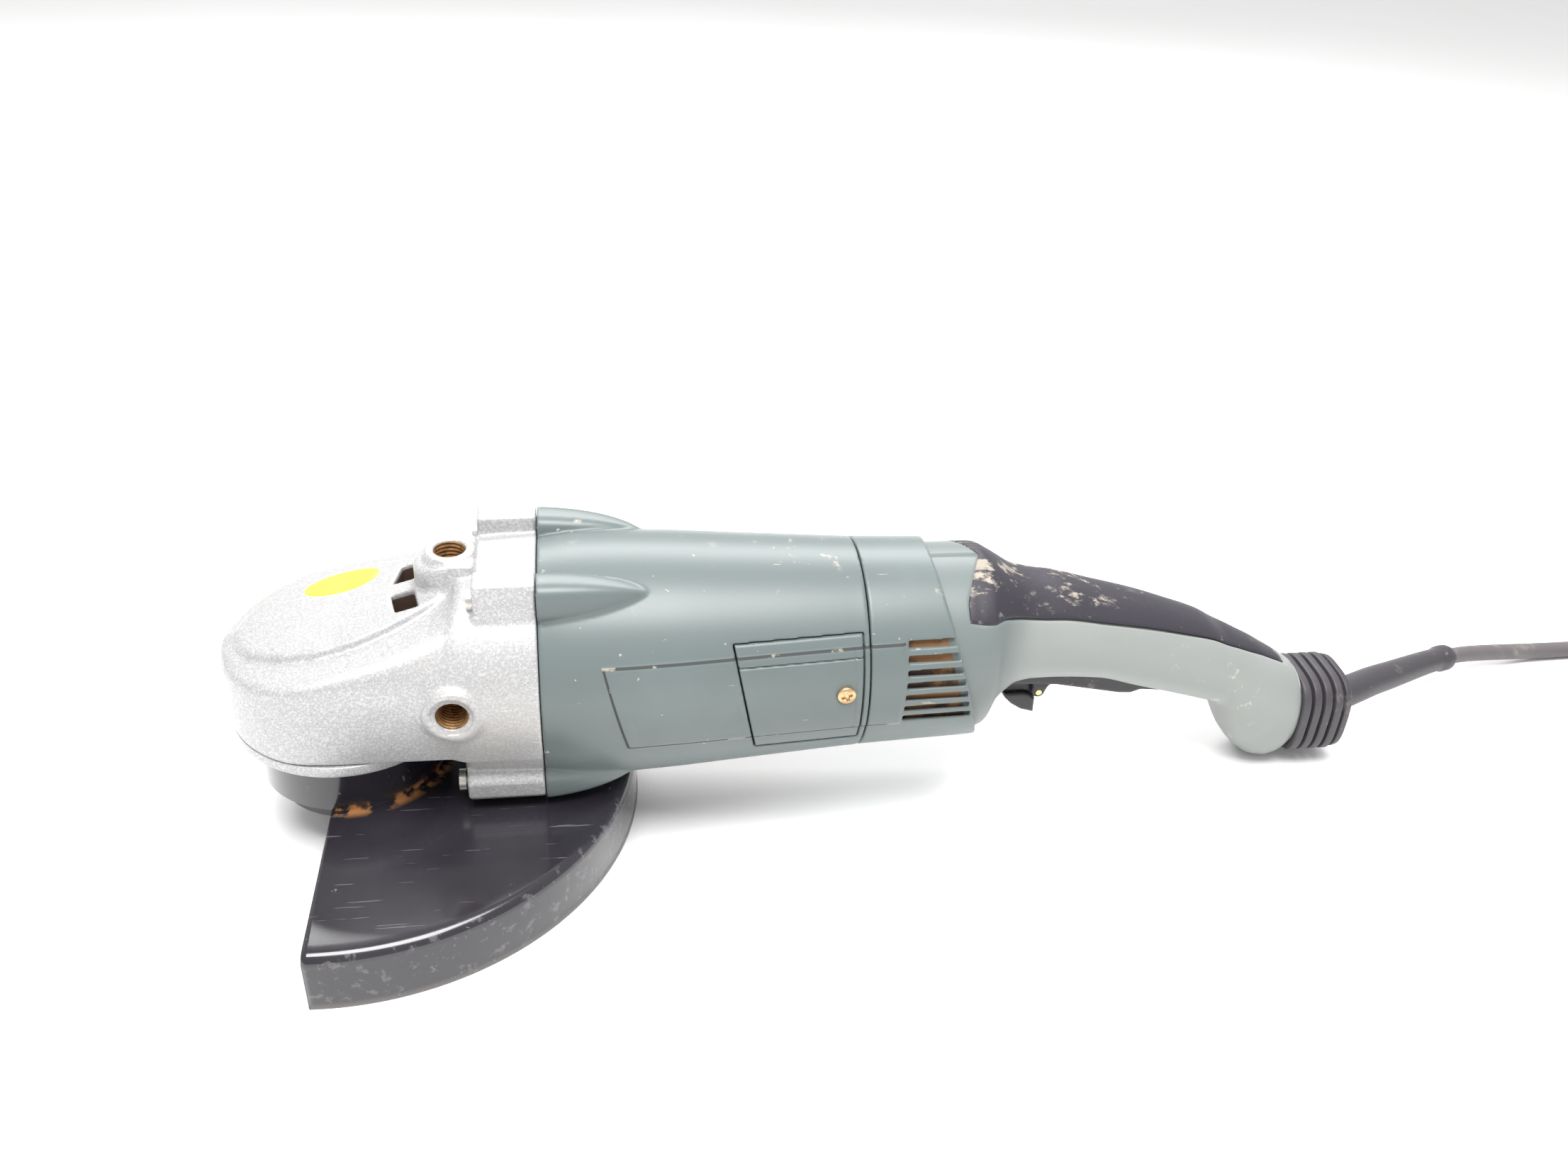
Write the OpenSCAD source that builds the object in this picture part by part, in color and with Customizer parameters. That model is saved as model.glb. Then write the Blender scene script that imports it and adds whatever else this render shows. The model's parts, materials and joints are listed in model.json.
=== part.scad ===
// Large corded angle grinder: gear head, half-disc wheel guard, universal motor,
// straight rear handle with paddle trigger, and mains lead.
// The origin is the middle of the spindle's free thread, +X runs from the head
// to the handle, +Z runs up along the spindle and the left side faces -Y.

/* [Gear head] */
// Radius of the head around the spindle
head_r = 51; // [50:0.5:52]
// Angle of the sloped top of the head, degrees
slope = 16; // [15:0.5:17]
// Radius of the side-handle thread bores
handle_thread_r = 6; // [5.8:0.1:6.2]
// Radius of the spindle thread
spindle_thread_r = 7; // [7:0.1:7.1]

/* [Guard] */
// Outer radius of the guard skirt
guard_r = 130; // [125:1:132]
// Sheet thickness of the guard
guard_t = 2; // [1.5:0.1:2.2]
// Height of the guard skirt
skirt_h = 28.5; // [24:0.5:28.5]

/* [Motor] */
// Height of the motor axis
axis_z = 76; // [76]
// Widest radius of the motor housing
housing_r = 56; // [55:0.5:56.5]
// Radius of the housing at its rear seam
housing_rear_r = 49.2; // [49:0.1:49.6]

/* [Gears] */
// Teeth of the crown gear
crown_teeth = 38; // [38]
// Teeth of the pinion
pinion_teeth = 9; // [9]
// Outer module of the bevel gears
gear_module = 2; // [2]

/* [Handle] */
// Half width of the trigger
trigger_half_w = 11; // [10:0.5:11]
// Thickness of the handle shells
shell_t = 3; // [2.5:0.1:3]

/* [Mains lead] */
// Diameter of the cord
cord_d = 9; // [9]

/* [Hidden] */

$fn = 96;
gap = 0.3;
fit_gap = 0.05;

// Heights in the head and the guard
floor_z = -3.5;
plate_top = floor_z + skirt_h;
case_bottom = 51;
flange_t = 5;
chamber_floor = case_bottom + flange_t;
chamber_mid = 74;
chamber_top = 90;
crown_r = 150;
chamber_r = 43;
neck_r = 39.45;
seam_x = 88;
seam_r = 54;
drum_x = 53;
flat_bottom = 27.5;
flat_wall = 3.2;
side_hole_x = 51;
side_hole_z = 83;
side_boss_y = 55;
top_boss_z = 134;
disc_x = 7;
disc_z = 108.5;
lock_z = 61;
// Thread radius where the nut and the flange sit on the spindle
pitch_r = spindle_thread_r - 0.6;
lock_azimuth = 65;
lock_floor_r = 33.8;

// The four seam screws: side position and height, upper pair then lower pair
upper_screw = [28, 125];
lower_screw = [39.5, 36.5];
upper_boss_x = 62;
screw_r = 2.5;

// Gear geometry, measured from the crossing of the two axes
crown_pitch_r = crown_teeth * gear_module / 2;
pinion_pitch_r = pinion_teeth * gear_module / 2;
cone_len = sqrt(crown_pitch_r * crown_pitch_r + pinion_pitch_r * pinion_pitch_r);
pinion_angle = atan(pinion_pitch_r / crown_pitch_r);
face_share = 0.72;
addendum = 1.1;
dedendum = 2.2;
tooth_half_w = 1.13;
flank = tan(20);

// Motor stations along the axis
housing_end = 232;
shroud_edge_x = 284;
shroud_edge_z = 57.5;
shroud_lean = 0.28;
shroud_end_r = 47.3;
shaft_end = 228;
bearing_x = 52;
rear_bearing_x = 219;
brush_x = 205;
stator_x = 126;
stator_len = 56;
fan_x = 92;
door_floor_r = 47;
band_low = 61.5;
band_high = 101.5;

// Trigger and lever pivots
trigger_pivot = [409, 45];
lever_pivot = [325.5, 47];

// Handle sections: station, bottom, top, half width
sections = [[246, 30.6, 121.4, 45.4], [275, 30.8, 121.2, 45.2], [284, 31.5, 121, 44.5],
    [291, 34, 120.5, 42], [297, 45, 117.5, 36], [303, 51, 113.6, 31.5], [309, 55, 110, 28.5],
    [318, 56.5, 107.3, 27], [330, 56.3, 105.2, 26], [351, 54.9, 99, 25.5], [372, 48.8, 93, 25],
    [392, 43, 85.8, 24.7], [408, 38.2, 79.4, 24.4], [418, 35, 73.6, 24], [424, 22.8, 71, 23.5],
    [430, 11.5, 68, 23], [437, 3.5, 64.4, 22.5], [445, -2.2, 59.6, 21.8], [451, -3.4, 56, 21.2],
    [457, -1, 52, 20.5], [461, 4, 49, 19.5]];

// Screws of the handle shells: station, height, side position of the head's seat
shell_screws = [[300, 84, 29], [376, 80, 18.5], [415, 62, 19.5], [448, 48, 13]];

// Route of the lead, uncoiled stretches only
sleeve_route = [[466, 0, 25], [478, 0, 25], [490, 1.5, 25.2], [504, 7, 25.2], [518, 14, 24], [532, 21, 21.8],
    [546, 28.5, 19.2], [560, 36, 16.6], [572, 42, 14.4], [584, 47.5, 12.2]];
lead_in = [[584, 47.5, 12.2], [600, 53.5, 9], [620, 58.6, 5.4], [641, 61.6, 2.8], [664, 63, 1.4],
    [688, 63.4, 1], [714, 63.5, 1], [742, 63.5, 1]];
coil_c = [742, 0.5];
coil_r = [45, 54, 63];
tail = [[774, 54.5, 19], [790, 41, 19], [801, 23, 19], [805, 0.5, 18.5], [805, -22, 15], [805, -44, 8.5],
    [805, -66, 3], [802, -88, 1], [792, -108, 1.5], [776, -121, 5], [758, -125, 10.5], [740, -125, 14.5],
    [728, -125, 15]];
plug_x = 728;
plug_y = -125;
plug_z = 15;

// ---------- helpers ----------

module along_x(x) {
    translate([x, 0, axis_z])
        rotate([0, 90, 0])
            children();
}

module both_sides() {
    children();
    mirror([0, 1, 0])
        children();
}

// A cylinder along Y from y0 outwards to y1
module across(x, y0, y1, z, r) {
    translate([x, y1, z])
        rotate([90, 0, 0])
            cylinder(r = r, h = y1 - y0);
}

module ring(r_out, r_in, h) {
    difference() {
        cylinder(r = r_out, h = h);
        translate([0, 0, -1])
            cylinder(r = r_in, h = h + 2);
    }
}

// A side outline in X and Z, as thick as y1 - y0
module side_plate(points, y0, y1) {
    translate([0, y1, 0])
        rotate([90, 0, 0])
            linear_extrude(y1 - y0)
                polygon(points);
}

function unit(v) = v / norm(v);
function tangent(p, i) = unit(p[min(i + 1, len(p) - 1)] - p[max(i - 1, 0)]);
function sweep_ring(p, i, r, n) =
    let (t = tangent(p, i), s = unit(cross([0, 0, 1], t)), u = cross(t, s))
    [for (k = [0:n - 1]) p[i] + r * (cos(360 * k / n) * s + sin(360 * k / n) * u)];

// Closed skin over rings of n points each; folded rings double back, so their ends are strips
module skin(rings, n, folded = false) {
    m = len(rings);
    points = [for (r = rings) each r];
    sides = [for (i = [0:m - 2], k = [0:n - 1])
        [i * n + k, i * n + (k + 1) % n, (i + 1) * n + (k + 1) % n, (i + 1) * n + k]];
    halves = [for (q = sides) each [[q[0], q[1], q[2]], [q[0], q[2], q[3]]]];
    z = (m - 1) * n;
    ends = folded
        ? [for (k = [0:n / 2 - 2]) each [[n - 1 - k, n - 2 - k, k + 1, k], [z + k, z + k + 1, z + n - 2 - k, z + n - 1 - k]]]
        : [[for (k = [0:n - 1]) n - 1 - k], [for (k = [0:n - 1]) z + k]];
    polyhedron(points = points, faces = concat(halves, ends));
}

module sweep(path, radii, n) {
    m = len(path);
    skin([for (i = [0:m - 1]) sweep_ring(path, i, radii[min(i, len(radii) - 1)], n)], n);
}

// ---------- gear head ----------

// Cylinder whose crest is the sloping ridge of the head
module crown(grow = 0) {
    translate([disc_x, 0, disc_z])
        rotate([0, -slope, 0])
            translate([-150, 0, -crown_r])
                rotate([0, 90, 0])
                    cylinder(r = crown_r + grow, h = 300);
}

module case_plan() {
    circle(r = head_r);
    polygon([[0, -head_r], [seam_x, -seam_r], [seam_x, seam_r], [0, head_r]]);
}

module case_body() {
    intersection() {
        union() {
            along_x(-head_r)
                cylinder(r = seam_r, h = head_r + seam_x);
            translate([0, 0, case_bottom])
                cylinder(r = head_r, h = 30);
        }
        union() {
            translate([0, 0, case_bottom])
                linear_extrude(90)
                    case_plan();
            translate([drum_x, -60, flat_bottom])
                cube([seam_x - drum_x, 120, 80]);
        }
        crown();
    }
    intersection() {
        along_x(66)
            cylinder(r = seam_r, h = seam_x - 66);
        translate([60, -60, flat_bottom])
            cube([40, 120, 120]);
    }
}

module case_bosses() {
    translate([side_hole_x, 0, 100])
        cylinder(r = 14, h = top_boss_z - 102);
    translate([42, -13, 100])
        cube([22, 26, 31]);
    translate([side_hole_x, 0, 100])
        cylinder(r = 11, h = top_boss_z - 100);
    rotate([0, 0, lock_azimuth])
        translate([44, 0, lock_z])
            rotate([0, 90, 0])
                cylinder(r = 9.5, h = 13);
    both_sides() {
        across(side_hole_x, -side_boss_y, -30, side_hole_z, 12.2);
        translate([upper_boss_x, -35, 115])
            cube([seam_x - upper_boss_x, 13, 20]);
        translate([drum_x + 1, -48, flat_bottom + 0.5])
            cube([seam_x - drum_x - 1, 17, 17]);
    }
}

module case_hollows() {
    translate([0, 0, case_bottom - 1])
        cylinder(r = head_r + 0.1, h = flange_t + 1);
    translate([0, 0, chamber_floor - 1])
        cylinder(r = chamber_r, h = chamber_mid - chamber_floor + 1);
    translate([0, 0, chamber_mid - 1])
        cylinder(r = 24, h = chamber_top - chamber_mid + 1);
    translate([0, 0, chamber_top - 1])
        cylinder(r = 9, h = 12);
    along_x(18)
        cylinder(r = 12.5, h = 42);
    along_x(bearing_x)
        cylinder(r = 16, h = 13);
    along_x(bearing_x + 10)
        cylinder(r = 24, h = 4);
    intersection() {
        along_x(64)
            cylinder(r = 49, h = 30);
        translate([60, -60, flat_bottom + flat_wall])
            cube([40, 120, 120]);
    }
}

module case_holes() {
    both_sides() {
        across(side_hole_x, -side_boss_y - 1, -33, side_hole_z, handle_thread_r);
        translate([24.5, -18, 104])
            cube([11, 13, 24]);
        translate([30, -13, 104])
            cube([38, 5.4, 7]);
        for (p = [upper_screw, lower_screw])
            translate([50, -p[0], p[1]])
                rotate([0, 90, 0])
                    cylinder(r = screw_r + fit_gap, h = 50);
        // room for the heads of the upper pair
        translate([upper_boss_x - 6, -upper_screw[0], upper_screw[1]])
            rotate([0, 90, 0])
                cylinder(r = 5.2, h = 6);
    }
    translate([side_hole_x, 0, 112])
        cylinder(r = handle_thread_r, h = 30);
    for (a = [45:90:315])
        rotate([0, 0, a])
            translate([46.5, 0, chamber_floor - 1])
                cylinder(r = 2, h = 12);
    rotate([0, 0, lock_azimuth])
        translate([30, 0, lock_z])
            rotate([0, 90, 0]) {
                cylinder(r = 3.5 + fit_gap, h = 30);
                translate([0, 0, 16.5])
                    cylinder(r = 7.5, h = 18);
            }
}

module gear_case() {
    color([0.78, 0.77, 0.76])
        difference() {
            union() {
                case_body();
                case_bosses();
            }
            case_hollows();
            case_holes();
        }
}

module name_oval() {
    translate([0.5, 19, 90])
        scale([1, 0.56, 1])
            cylinder(r = 17, h = 30);
}

module name_disc() {
    color([0.93, 0.9, 0.3])
        intersection() {
            name_oval();
            difference() {
                crown(0.6);
                crown(3 * fit_gap);
            }
        }
}

module bearing_cover() {
    color([0.75, 0.75, 0.75])
        difference() {
            union() {
                translate([0, 0, case_bottom])
                    cylinder(r = head_r, h = flange_t);
                translate([0, 0, 23])
                    cylinder(r = neck_r, h = case_bottom - 23);
                translate([0, 0, 15])
                    cylinder(r = 36, h = 8);
            }
            translate([0, 0, 14])
                cylinder(r = 14, h = 15);
            translate([0, 0, 28])
                cylinder(r = 12, h = 4);
            translate([0, 0, 30])
                cylinder(r = 20, h = 12);
            translate([0, 0, 42])
                cylinder(r = 22, h = 20);
            for (a = [45:90:315])
                rotate([0, 0, a])
                    translate([46.5, 0, case_bottom]) {
                        translate([0, 0, -1])
                            cylinder(r = 2.2, h = 8);
                        translate([0, 0, -0.01])
                            cylinder(r1 = 4, r2 = 2.2, h = 2.2);
                    }
        }
}

module cover_screws() {
    color([0.6, 0.6, 0.6])
        for (a = [45:90:315])
            rotate([0, 0, a])
                translate([46.5, 0, case_bottom]) {
                    translate([0, 0, 0.1])
                        cylinder(r1 = 3.8, r2 = 2, h = 2);
                    translate([0, 0, 1])
                        cylinder(r = 1.95, h = 14);
                }
}

module lower_bearing_outer() {
    color([0.7, 0.7, 0.72])
        translate([0, 0, 30])
            ring(20, 16.6, 12);
}

module lower_bearing_balls() {
    color([0.85, 0.85, 0.87])
        for (a = [0:45:315])
            rotate([0, 0, a])
                translate([14.3, 0, 36])
                    sphere(r = 2.2, $fn = 32);
}

module lower_bearing_inner() {
    color([0.7, 0.7, 0.72])
        translate([0, 0, 30])
            ring(12, 8.5, 12);
}

module upper_bush() {
    color([0.66, 0.5, 0.25])
        translate([0, 0, chamber_top])
            ring(9, 6 + fit_gap, 10);
}

module spindle() {
    color([0.62, 0.62, 0.64])
        rotate_extrude()
            polygon([[0, -3.4], [6.2, -3.4], [spindle_thread_r, -2.6], [spindle_thread_r, 2.6],
                [pitch_r, 2.6], [pitch_r, 27], [8.5, 27], [8.5, 42],
                [11, 42], [11, 57], [8.5, 57], [8.5, 71.5], [6, 71.5], [6, 99], [0, 99]]);
}

// One bevel tooth: g runs outwards along the pitch cone, t across it, n out of it
module bevel_tooth(g, t, n) {
    rows = [[tooth_half_w + dedendum * flank, -dedendum - 0.5], [tooth_half_w - addendum * flank, addendum]];
    outer = [for (s = [[-1, 0], [1, 0], [1, 1], [-1, 1]])
        cone_len * g + s[0] * rows[s[1]][0] * t + rows[s[1]][1] * n];
    skin([[for (p = outer) face_share * p], outer], 4);
}

module crown_gear() {
    color([0.5, 0.5, 0.52])
        difference() {
            union() {
                difference() {
                    rotate_extrude()
                        polygon([[8.5, 57], [37, 57], [37.5, axis_z - 11.14], [26.9, axis_z - 8], [14, 68],
                            [14, 70], [8.5, 70]]);
                    // groove of the lock pin
                    translate([0, 0, lock_z - 2.6])
                        ring(40, lock_floor_r, 5.2);
                }
                // four stops across the groove catch the pin within a quarter turn
                for (a = [0:90:270])
                    rotate([0, 0, lock_azimuth + 68.5 + a])
                        translate([lock_floor_r - 2, -3, lock_z - 3])
                            cube([4.8, 6, 6]);
                translate([0, 0, axis_z])
                    for (i = [0:crown_teeth - 1])
                        rotate([0, 0, 360 * (i + 0.5) / crown_teeth])
                            bevel_tooth([cos(pinion_angle), 0, -sin(pinion_angle)], [0, -1, 0],
                                [sin(pinion_angle), 0, cos(pinion_angle)]);
            }
            translate([0, 0, 50])
                cylinder(r = 8.5, h = 40);
        }
}

module gear_circlip() {
    color([0.35, 0.35, 0.36])
        translate([0, 0, 70])
            ring(11, 8.5, 1.2);
}

module inner_flange() {
    color([0.5, 0.5, 0.5])
        difference() {
            union() {
                translate([0, 0, 9])
                    cylinder(r = 21, h = 5.5);
                translate([0, 0, 9])
                    cylinder(r = 13, h = 17);
                translate([0, 0, 8])
                    cylinder(r = 11.1, h = 2);
            }
            cylinder(r = pitch_r, h = 40);
        }
}

module flange_nut() {
    color([0.45, 0.45, 0.46])
        difference() {
            translate([0, 0, 3])
                cylinder(r = 20, h = 5);
            cylinder(r = pitch_r, h = 20);
            for (a = [45:90:315])
                rotate([0, 0, a])
                    translate([15, 0, 2])
                        cylinder(r = 2.5, h = 4);
        }
}

module lock_button() {
    color([0.15, 0.15, 0.16])
        rotate([0, 0, lock_azimuth])
            translate([39.5, 0, lock_z])
                rotate([0, 90, 0]) {
                    cylinder(r = 2.3, h = 4);
                    translate([0, 0, 3.6])
                        cylinder(r = 3.5, h = 17);
                    translate([0, 0, 16.5])
                        cylinder(r = 7.2, h = 5);
                }
}

module lock_spring() {
    color([0.55, 0.55, 0.55])
        rotate([0, 0, lock_azimuth])
            translate([46.6, 0, lock_z])
                rotate([0, 90, 0])
                    ring(4.8, 3.7, 9.3);
}

module case_screws() {
    color([0.72, 0.68, 0.6])
        both_sides()
            for (p = [[upper_screw, upper_boss_x], [lower_screw, drum_x]])
                translate([p[1], -p[0][0], p[0][1]])
                    rotate([0, 90, 0]) {
                        cylinder(r = screw_r, h = 112 - p[1]);
                        translate([0, 0, -3])
                            difference() {
                                cylinder(r = 4.8, h = 3);
                                translate([0, 0, -0.1])
                                    cylinder(r = 2, h = 2, $fn = 6);
                            }
                    }
}

// ---------- guard ----------

module guard() {
    corner = 5;
    color([0.14, 0.13, 0.16])
        difference() {
            rotate_extrude()
                polygon(concat(
                    [[neck_r + fit_gap, plate_top - guard_t], [guard_r - corner, plate_top - guard_t]],
                    [for (a = [90:-15:0]) [guard_r - corner + (corner - guard_t) * cos(a),
                        plate_top - corner + (corner - guard_t) * sin(a)]],
                    [[guard_r - guard_t, floor_z], [guard_r, floor_z]],
                    [for (a = [0:15:90]) [guard_r - corner + corner * cos(a),
                        plate_top - corner + corner * sin(a)]],
                    [[neck_r + fit_gap, plate_top]]));
            rotate([0, 0, -1])
                translate([-150 - 6, -150, -10])
                    cube([150, 300, 60]);
        }
}

module guard_collar() {
    color([0.13, 0.12, 0.14])
        difference() {
            union() {
                translate([0, 0, plate_top])
                    cylinder(r = 42.3, h = 24);
                rotate([0, 0, 100])
                    translate([38, -9, plate_top + 2])
                        cube([16, 18, 20]);
            }
            translate([0, 0, plate_top - 1])
                cylinder(r = neck_r + fit_gap, h = 30);
            rotate([0, 0, 100])
                translate([36, -3, plate_top - 1])
                    cube([30, 6, 30]);
            rotate([0, 0, 100])
                translate([48.5, 20, plate_top + 12])
                    rotate([90, 0, 0])
                        cylinder(r = 3, h = 40);
        }
}

module collar_screw() {
    color([0.6, 0.58, 0.5])
        rotate([0, 0, 100])
            translate([48.5, 14, plate_top + 12])
                rotate([90, 0, 0]) {
                    cylinder(r = 2.95, h = 29);
                    cylinder(r = 5, h = 5);
                }
}

module collar_nut() {
    color([0.6, 0.58, 0.5])
        rotate([0, 0, 100])
            translate([48.5, -9, plate_top + 12])
                rotate([90, 0, 0])
                    difference() {
                        cylinder(r = 5.5, h = 5, $fn = 6);
                        translate([0, 0, -1])
                            cylinder(r = 2.95, h = 7);
                    }
}

// ---------- motor housing ----------

housing_profile = [[88, seam_r], [94, housing_r - 0.8], [104, housing_r], [125, housing_r],
    [150, housing_r - 1.2], [178, housing_r - 3.2], [205, housing_r - 5], [housing_end, housing_rear_r]];

module housing_solid(grow = 0) {
    along_x(0)
        rotate_extrude()
            polygon(concat([[0, seam_x]], [for (p = housing_profile) [p[1] + grow, p[0]]], [[0, housing_end]]));
}

function door_outline(inset) = [[171 + inset, 106.5 - inset], [181.5 + inset, 53 + inset],
    [229 - inset, 53 + inset], [229 - inset, 106.5 - inset]];

module housing_band() {
    intersection() {
        housing_solid(0.6);
        side_plate([[115, band_high], [125, band_low], [230, band_low], [230, band_high]], -60, 60);
    }
}

module fairings() {
    both_sides() {
        hull() {
            translate([seam_x, -28, 125])
                rotate([0, 90, 0])
                    cylinder(r = 8.8, h = 16, $fn = 32);
            translate([130, -24, 120])
                sphere(r = 2, $fn = 16);
        }
        hull() {
            translate([seam_x, -lower_screw[0], lower_screw[1]])
                rotate([0, 90, 0])
                    cylinder(r = 8.6, h = 14, $fn = 32);
            translate([125, -36, 38])
                sphere(r = 2, $fn = 16);
        }
    }
}

module housing_hollow() {
    intersection() {
        along_x(0)
            rotate_extrude()
                polygon([[0, 87], [49.3, 87], [49.3, 112], [46.6, 114], [46.6, stator_x - 2], [44, stator_x - 2],
                    [44, stator_x + stator_len], [45, stator_x + stator_len + 1], [45, 222], [0, 222]]);
        translate([80, -60, flat_bottom + flat_wall])
            cube([150, 120, 120]);
    }
}

module motor_housing() {
    color([0.47, 0.51, 0.51])
        difference() {
            union() {
                difference() {
                    union() {
                        housing_solid();
                        housing_band();
                        fairings();
                    }
                    housing_hollow();
                    // flat underside over the guard
                    translate([80, -60, 0])
                        cube([55, 120, flat_bottom]);
                    // pockets of the brush doors
                    difference() {
                        side_plate(door_outline(0), -70, 70);
                        along_x(80)
                            cylinder(r = door_floor_r, h = 160);
                    }
                }
                along_x(rear_bearing_x - 3)
                    cylinder(r = 19, h = 14);
            }
            // seam screws
            both_sides()
                for (p = [upper_screw, lower_screw])
                    translate([80, -p[0], p[1]])
                        rotate([0, 90, 0])
                            cylinder(r = screw_r, h = 32);
            along_x(rear_bearing_x)
                cylinder(r = 15, h = 9);
            along_x(200)
                cylinder(r = 6, h = 27);
            // brush wells and air passages in the rear wall
            translate([brush_x - 8, -60, axis_z - 6])
                cube([16, 120, 12]);
            for (a = [30:60:330])
                along_x(220)
                    rotate([0, 0, a])
                        translate([24, -7, 0])
                            cube([17, 14, 20]);
        }
}

module brush_door(side) {
    mirror([0, side, 0])
        color([0.44, 0.48, 0.49])
            difference() {
                union() {
                    intersection() {
                        housing_solid();
                        side_plate(door_outline(gap), -70, -20);
                    }
                    intersection() {
                        housing_solid(0.6);
                        side_plate(door_outline(gap), -70, -20);
                        translate([100, -70, band_low])
                            cube([200, 50, band_high - band_low]);
                    }
                }
                along_x(80)
                    cylinder(r = door_floor_r + 0.1, h = 160);
                across(221, -70, -20, 82, 2.2);
            }
}

module brush_door_left() {
    brush_door(0);
}

module brush_door_right() {
    brush_door(1);
}

module door_screws() {
    color([0.66, 0.5, 0.32])
        both_sides() {
            across(221, -51, -43, 82, 2);
            across(221, -52.8, -50.6, 82, 4.2);
        }
}

module air_baffle() {
    color([0.2, 0.2, 0.2])
        difference() {
            along_x(107.5)
                ring(49.3, 36, 2.5);
            translate([80, -60, 0])
                cube([55, 120, flat_bottom + flat_wall + 0.1]);
        }
}

module stator_core() {
    color([0.4, 0.4, 0.42])
        difference() {
            along_x(stator_x)
                cylinder(r = 44, h = stator_len);
            along_x(stator_x - 1)
                cylinder(r = 25.6, h = stator_len + 2);
            translate([100, -60, 0])
                cube([100, 120, flat_bottom + flat_wall + 2]);
            // two winding spaces, above and below the poles
            for (s = [-1, 1])
                translate([stator_x - 1, -20, axis_z + s * 29 - 7])
                    cube([stator_len + 2, 40, 14]);
            both_sides()
                translate([stator_x - 1, -38, axis_z])
                    rotate([0, 90, 0])
                        cylinder(r = 2, h = 21);
        }
}

module stator_coils() {
    color([0.6, 0.32, 0.15])
        for (s = [-1, 1])
            translate([stator_x - 12, -19.5, axis_z + s * 29.5 - 6])
                difference() {
                    cube([stator_len + 24, 39, 12]);
                    translate([10, 7, -1])
                        cube([stator_len + 4, 25, 14]);
                }
}

module stator_screws() {
    color([0.6, 0.6, 0.6])
        both_sides()
            translate([stator_x - 4, -38, axis_z])
                rotate([0, 90, 0]) {
                    cylinder(r = 4, h = 4);
                    translate([0, 0, 3])
                        cylinder(r = 2, h = 20);
                }
}

module armature_shaft() {
    color([0.62, 0.62, 0.64])
        along_x(0)
            rotate_extrude()
                polygon([[0, 21], [3.5, 21], [3.5, 50], [6, 50], [6, 70], [8, 70], [8, rear_bearing_x - 3.5],
                    [5, rear_bearing_x - 3.5], [5, shaft_end], [0, shaft_end]]);
}

module pinion() {
    color([0.5, 0.5, 0.52])
        difference() {
            union() {
                along_x(0)
                    rotate_extrude()
                        polygon([[0, 27.65], [4.93, 27.65], [6.86, 38.5], [9, 41], [9, 49.9], [0, 49.9]]);
                translate([0, 0, axis_z])
                    for (i = [0:pinion_teeth - 1])
                        rotate([360 * i / pinion_teeth, 0, 0])
                            bevel_tooth([cos(pinion_angle), 0, -sin(pinion_angle)], [0, 1, 0],
                                [-sin(pinion_angle), 0, -cos(pinion_angle)]);
            }
            along_x(20)
                cylinder(r = 3.5, h = 40);
        }
}

module pinion_nut() {
    color([0.6, 0.6, 0.6])
        along_x(22.5)
            difference() {
                cylinder(r = 5.6, h = 5, $fn = 6);
                translate([0, 0, -1])
                    cylinder(r = 3.5, h = 8);
            }
}

module armature_core() {
    slots = 16;
    color([0.42, 0.42, 0.44])
        along_x(stator_x)
            difference() {
                ring(25, 8, stator_len);
                for (i = [0:slots - 1])
                    rotate([0, 0, 360 * i / slots])
                        translate([15.5, -1.3, -1])
                            cube([20, 2.6, stator_len + 2]);
            }
}

module armature_windings() {
    color([0.62, 0.33, 0.15])
        for (x = [stator_x - 9, stator_x + stator_len])
            along_x(x)
                ring(22, 8, 9);
}

module commutator() {
    bars = 32;
    color([0.72, 0.42, 0.2])
        along_x(196)
            difference() {
                ring(17, 8, 17);
                for (i = [0:bars - 1])
                    rotate([0, 0, 360 * i / bars])
                        translate([15.5, -0.3, -1])
                            cube([3, 0.6, 19]);
            }
}

module fan() {
    blades = 12;
    color([0.16, 0.16, 0.17])
        along_x(fan_x) {
            ring(12, 8, 14);
            translate([0, 0, 0])
                ring(44, 11, 2);
            for (i = [0:blades - 1])
                rotate([0, 0, 360 * i / blades])
                    translate([22, -0.9, 1])
                        cube([21, 1.8, 12]);
        }
}

module front_bearing() {
    color([0.7, 0.7, 0.72])
        along_x(bearing_x)
            ring(15.95, 6 + fit_gap, 10);
}

module rear_bearing() {
    color([0.7, 0.7, 0.72])
        along_x(rear_bearing_x)
            ring(14.95, 5 + fit_gap, 9);
}

module bearing_retainer() {
    color([0.6, 0.6, 0.62])
        along_x(bearing_x + 10.1)
            difference() {
                ring(23, 10, 1.8);
                for (a = [0:90:270])
                    rotate([0, 0, a])
                        translate([19.5, 0, -1])
                            cylinder(r = 1.8, h = 4);
            }
}

module brush_holders() {
    color([0.75, 0.6, 0.3])
        both_sides()
            difference() {
                translate([brush_x - 8, -46, axis_z - 6])
                    cube([16, 27, 12]);
                translate([brush_x - 5.2, -50, axis_z - 3.2])
                    cube([10.4, 40, 6.4]);
            }
}

module carbon_brushes() {
    color([0.12, 0.12, 0.12])
        both_sides()
            translate([brush_x - 5, -37, axis_z - 3])
                cube([10, 19.7, 6]);
}

module brush_springs() {
    color([0.6, 0.6, 0.6])
        both_sides()
            across(brush_x, -43.6, -37.2, axis_z, 2.6);
}

// ---------- shroud and handle ----------

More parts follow.
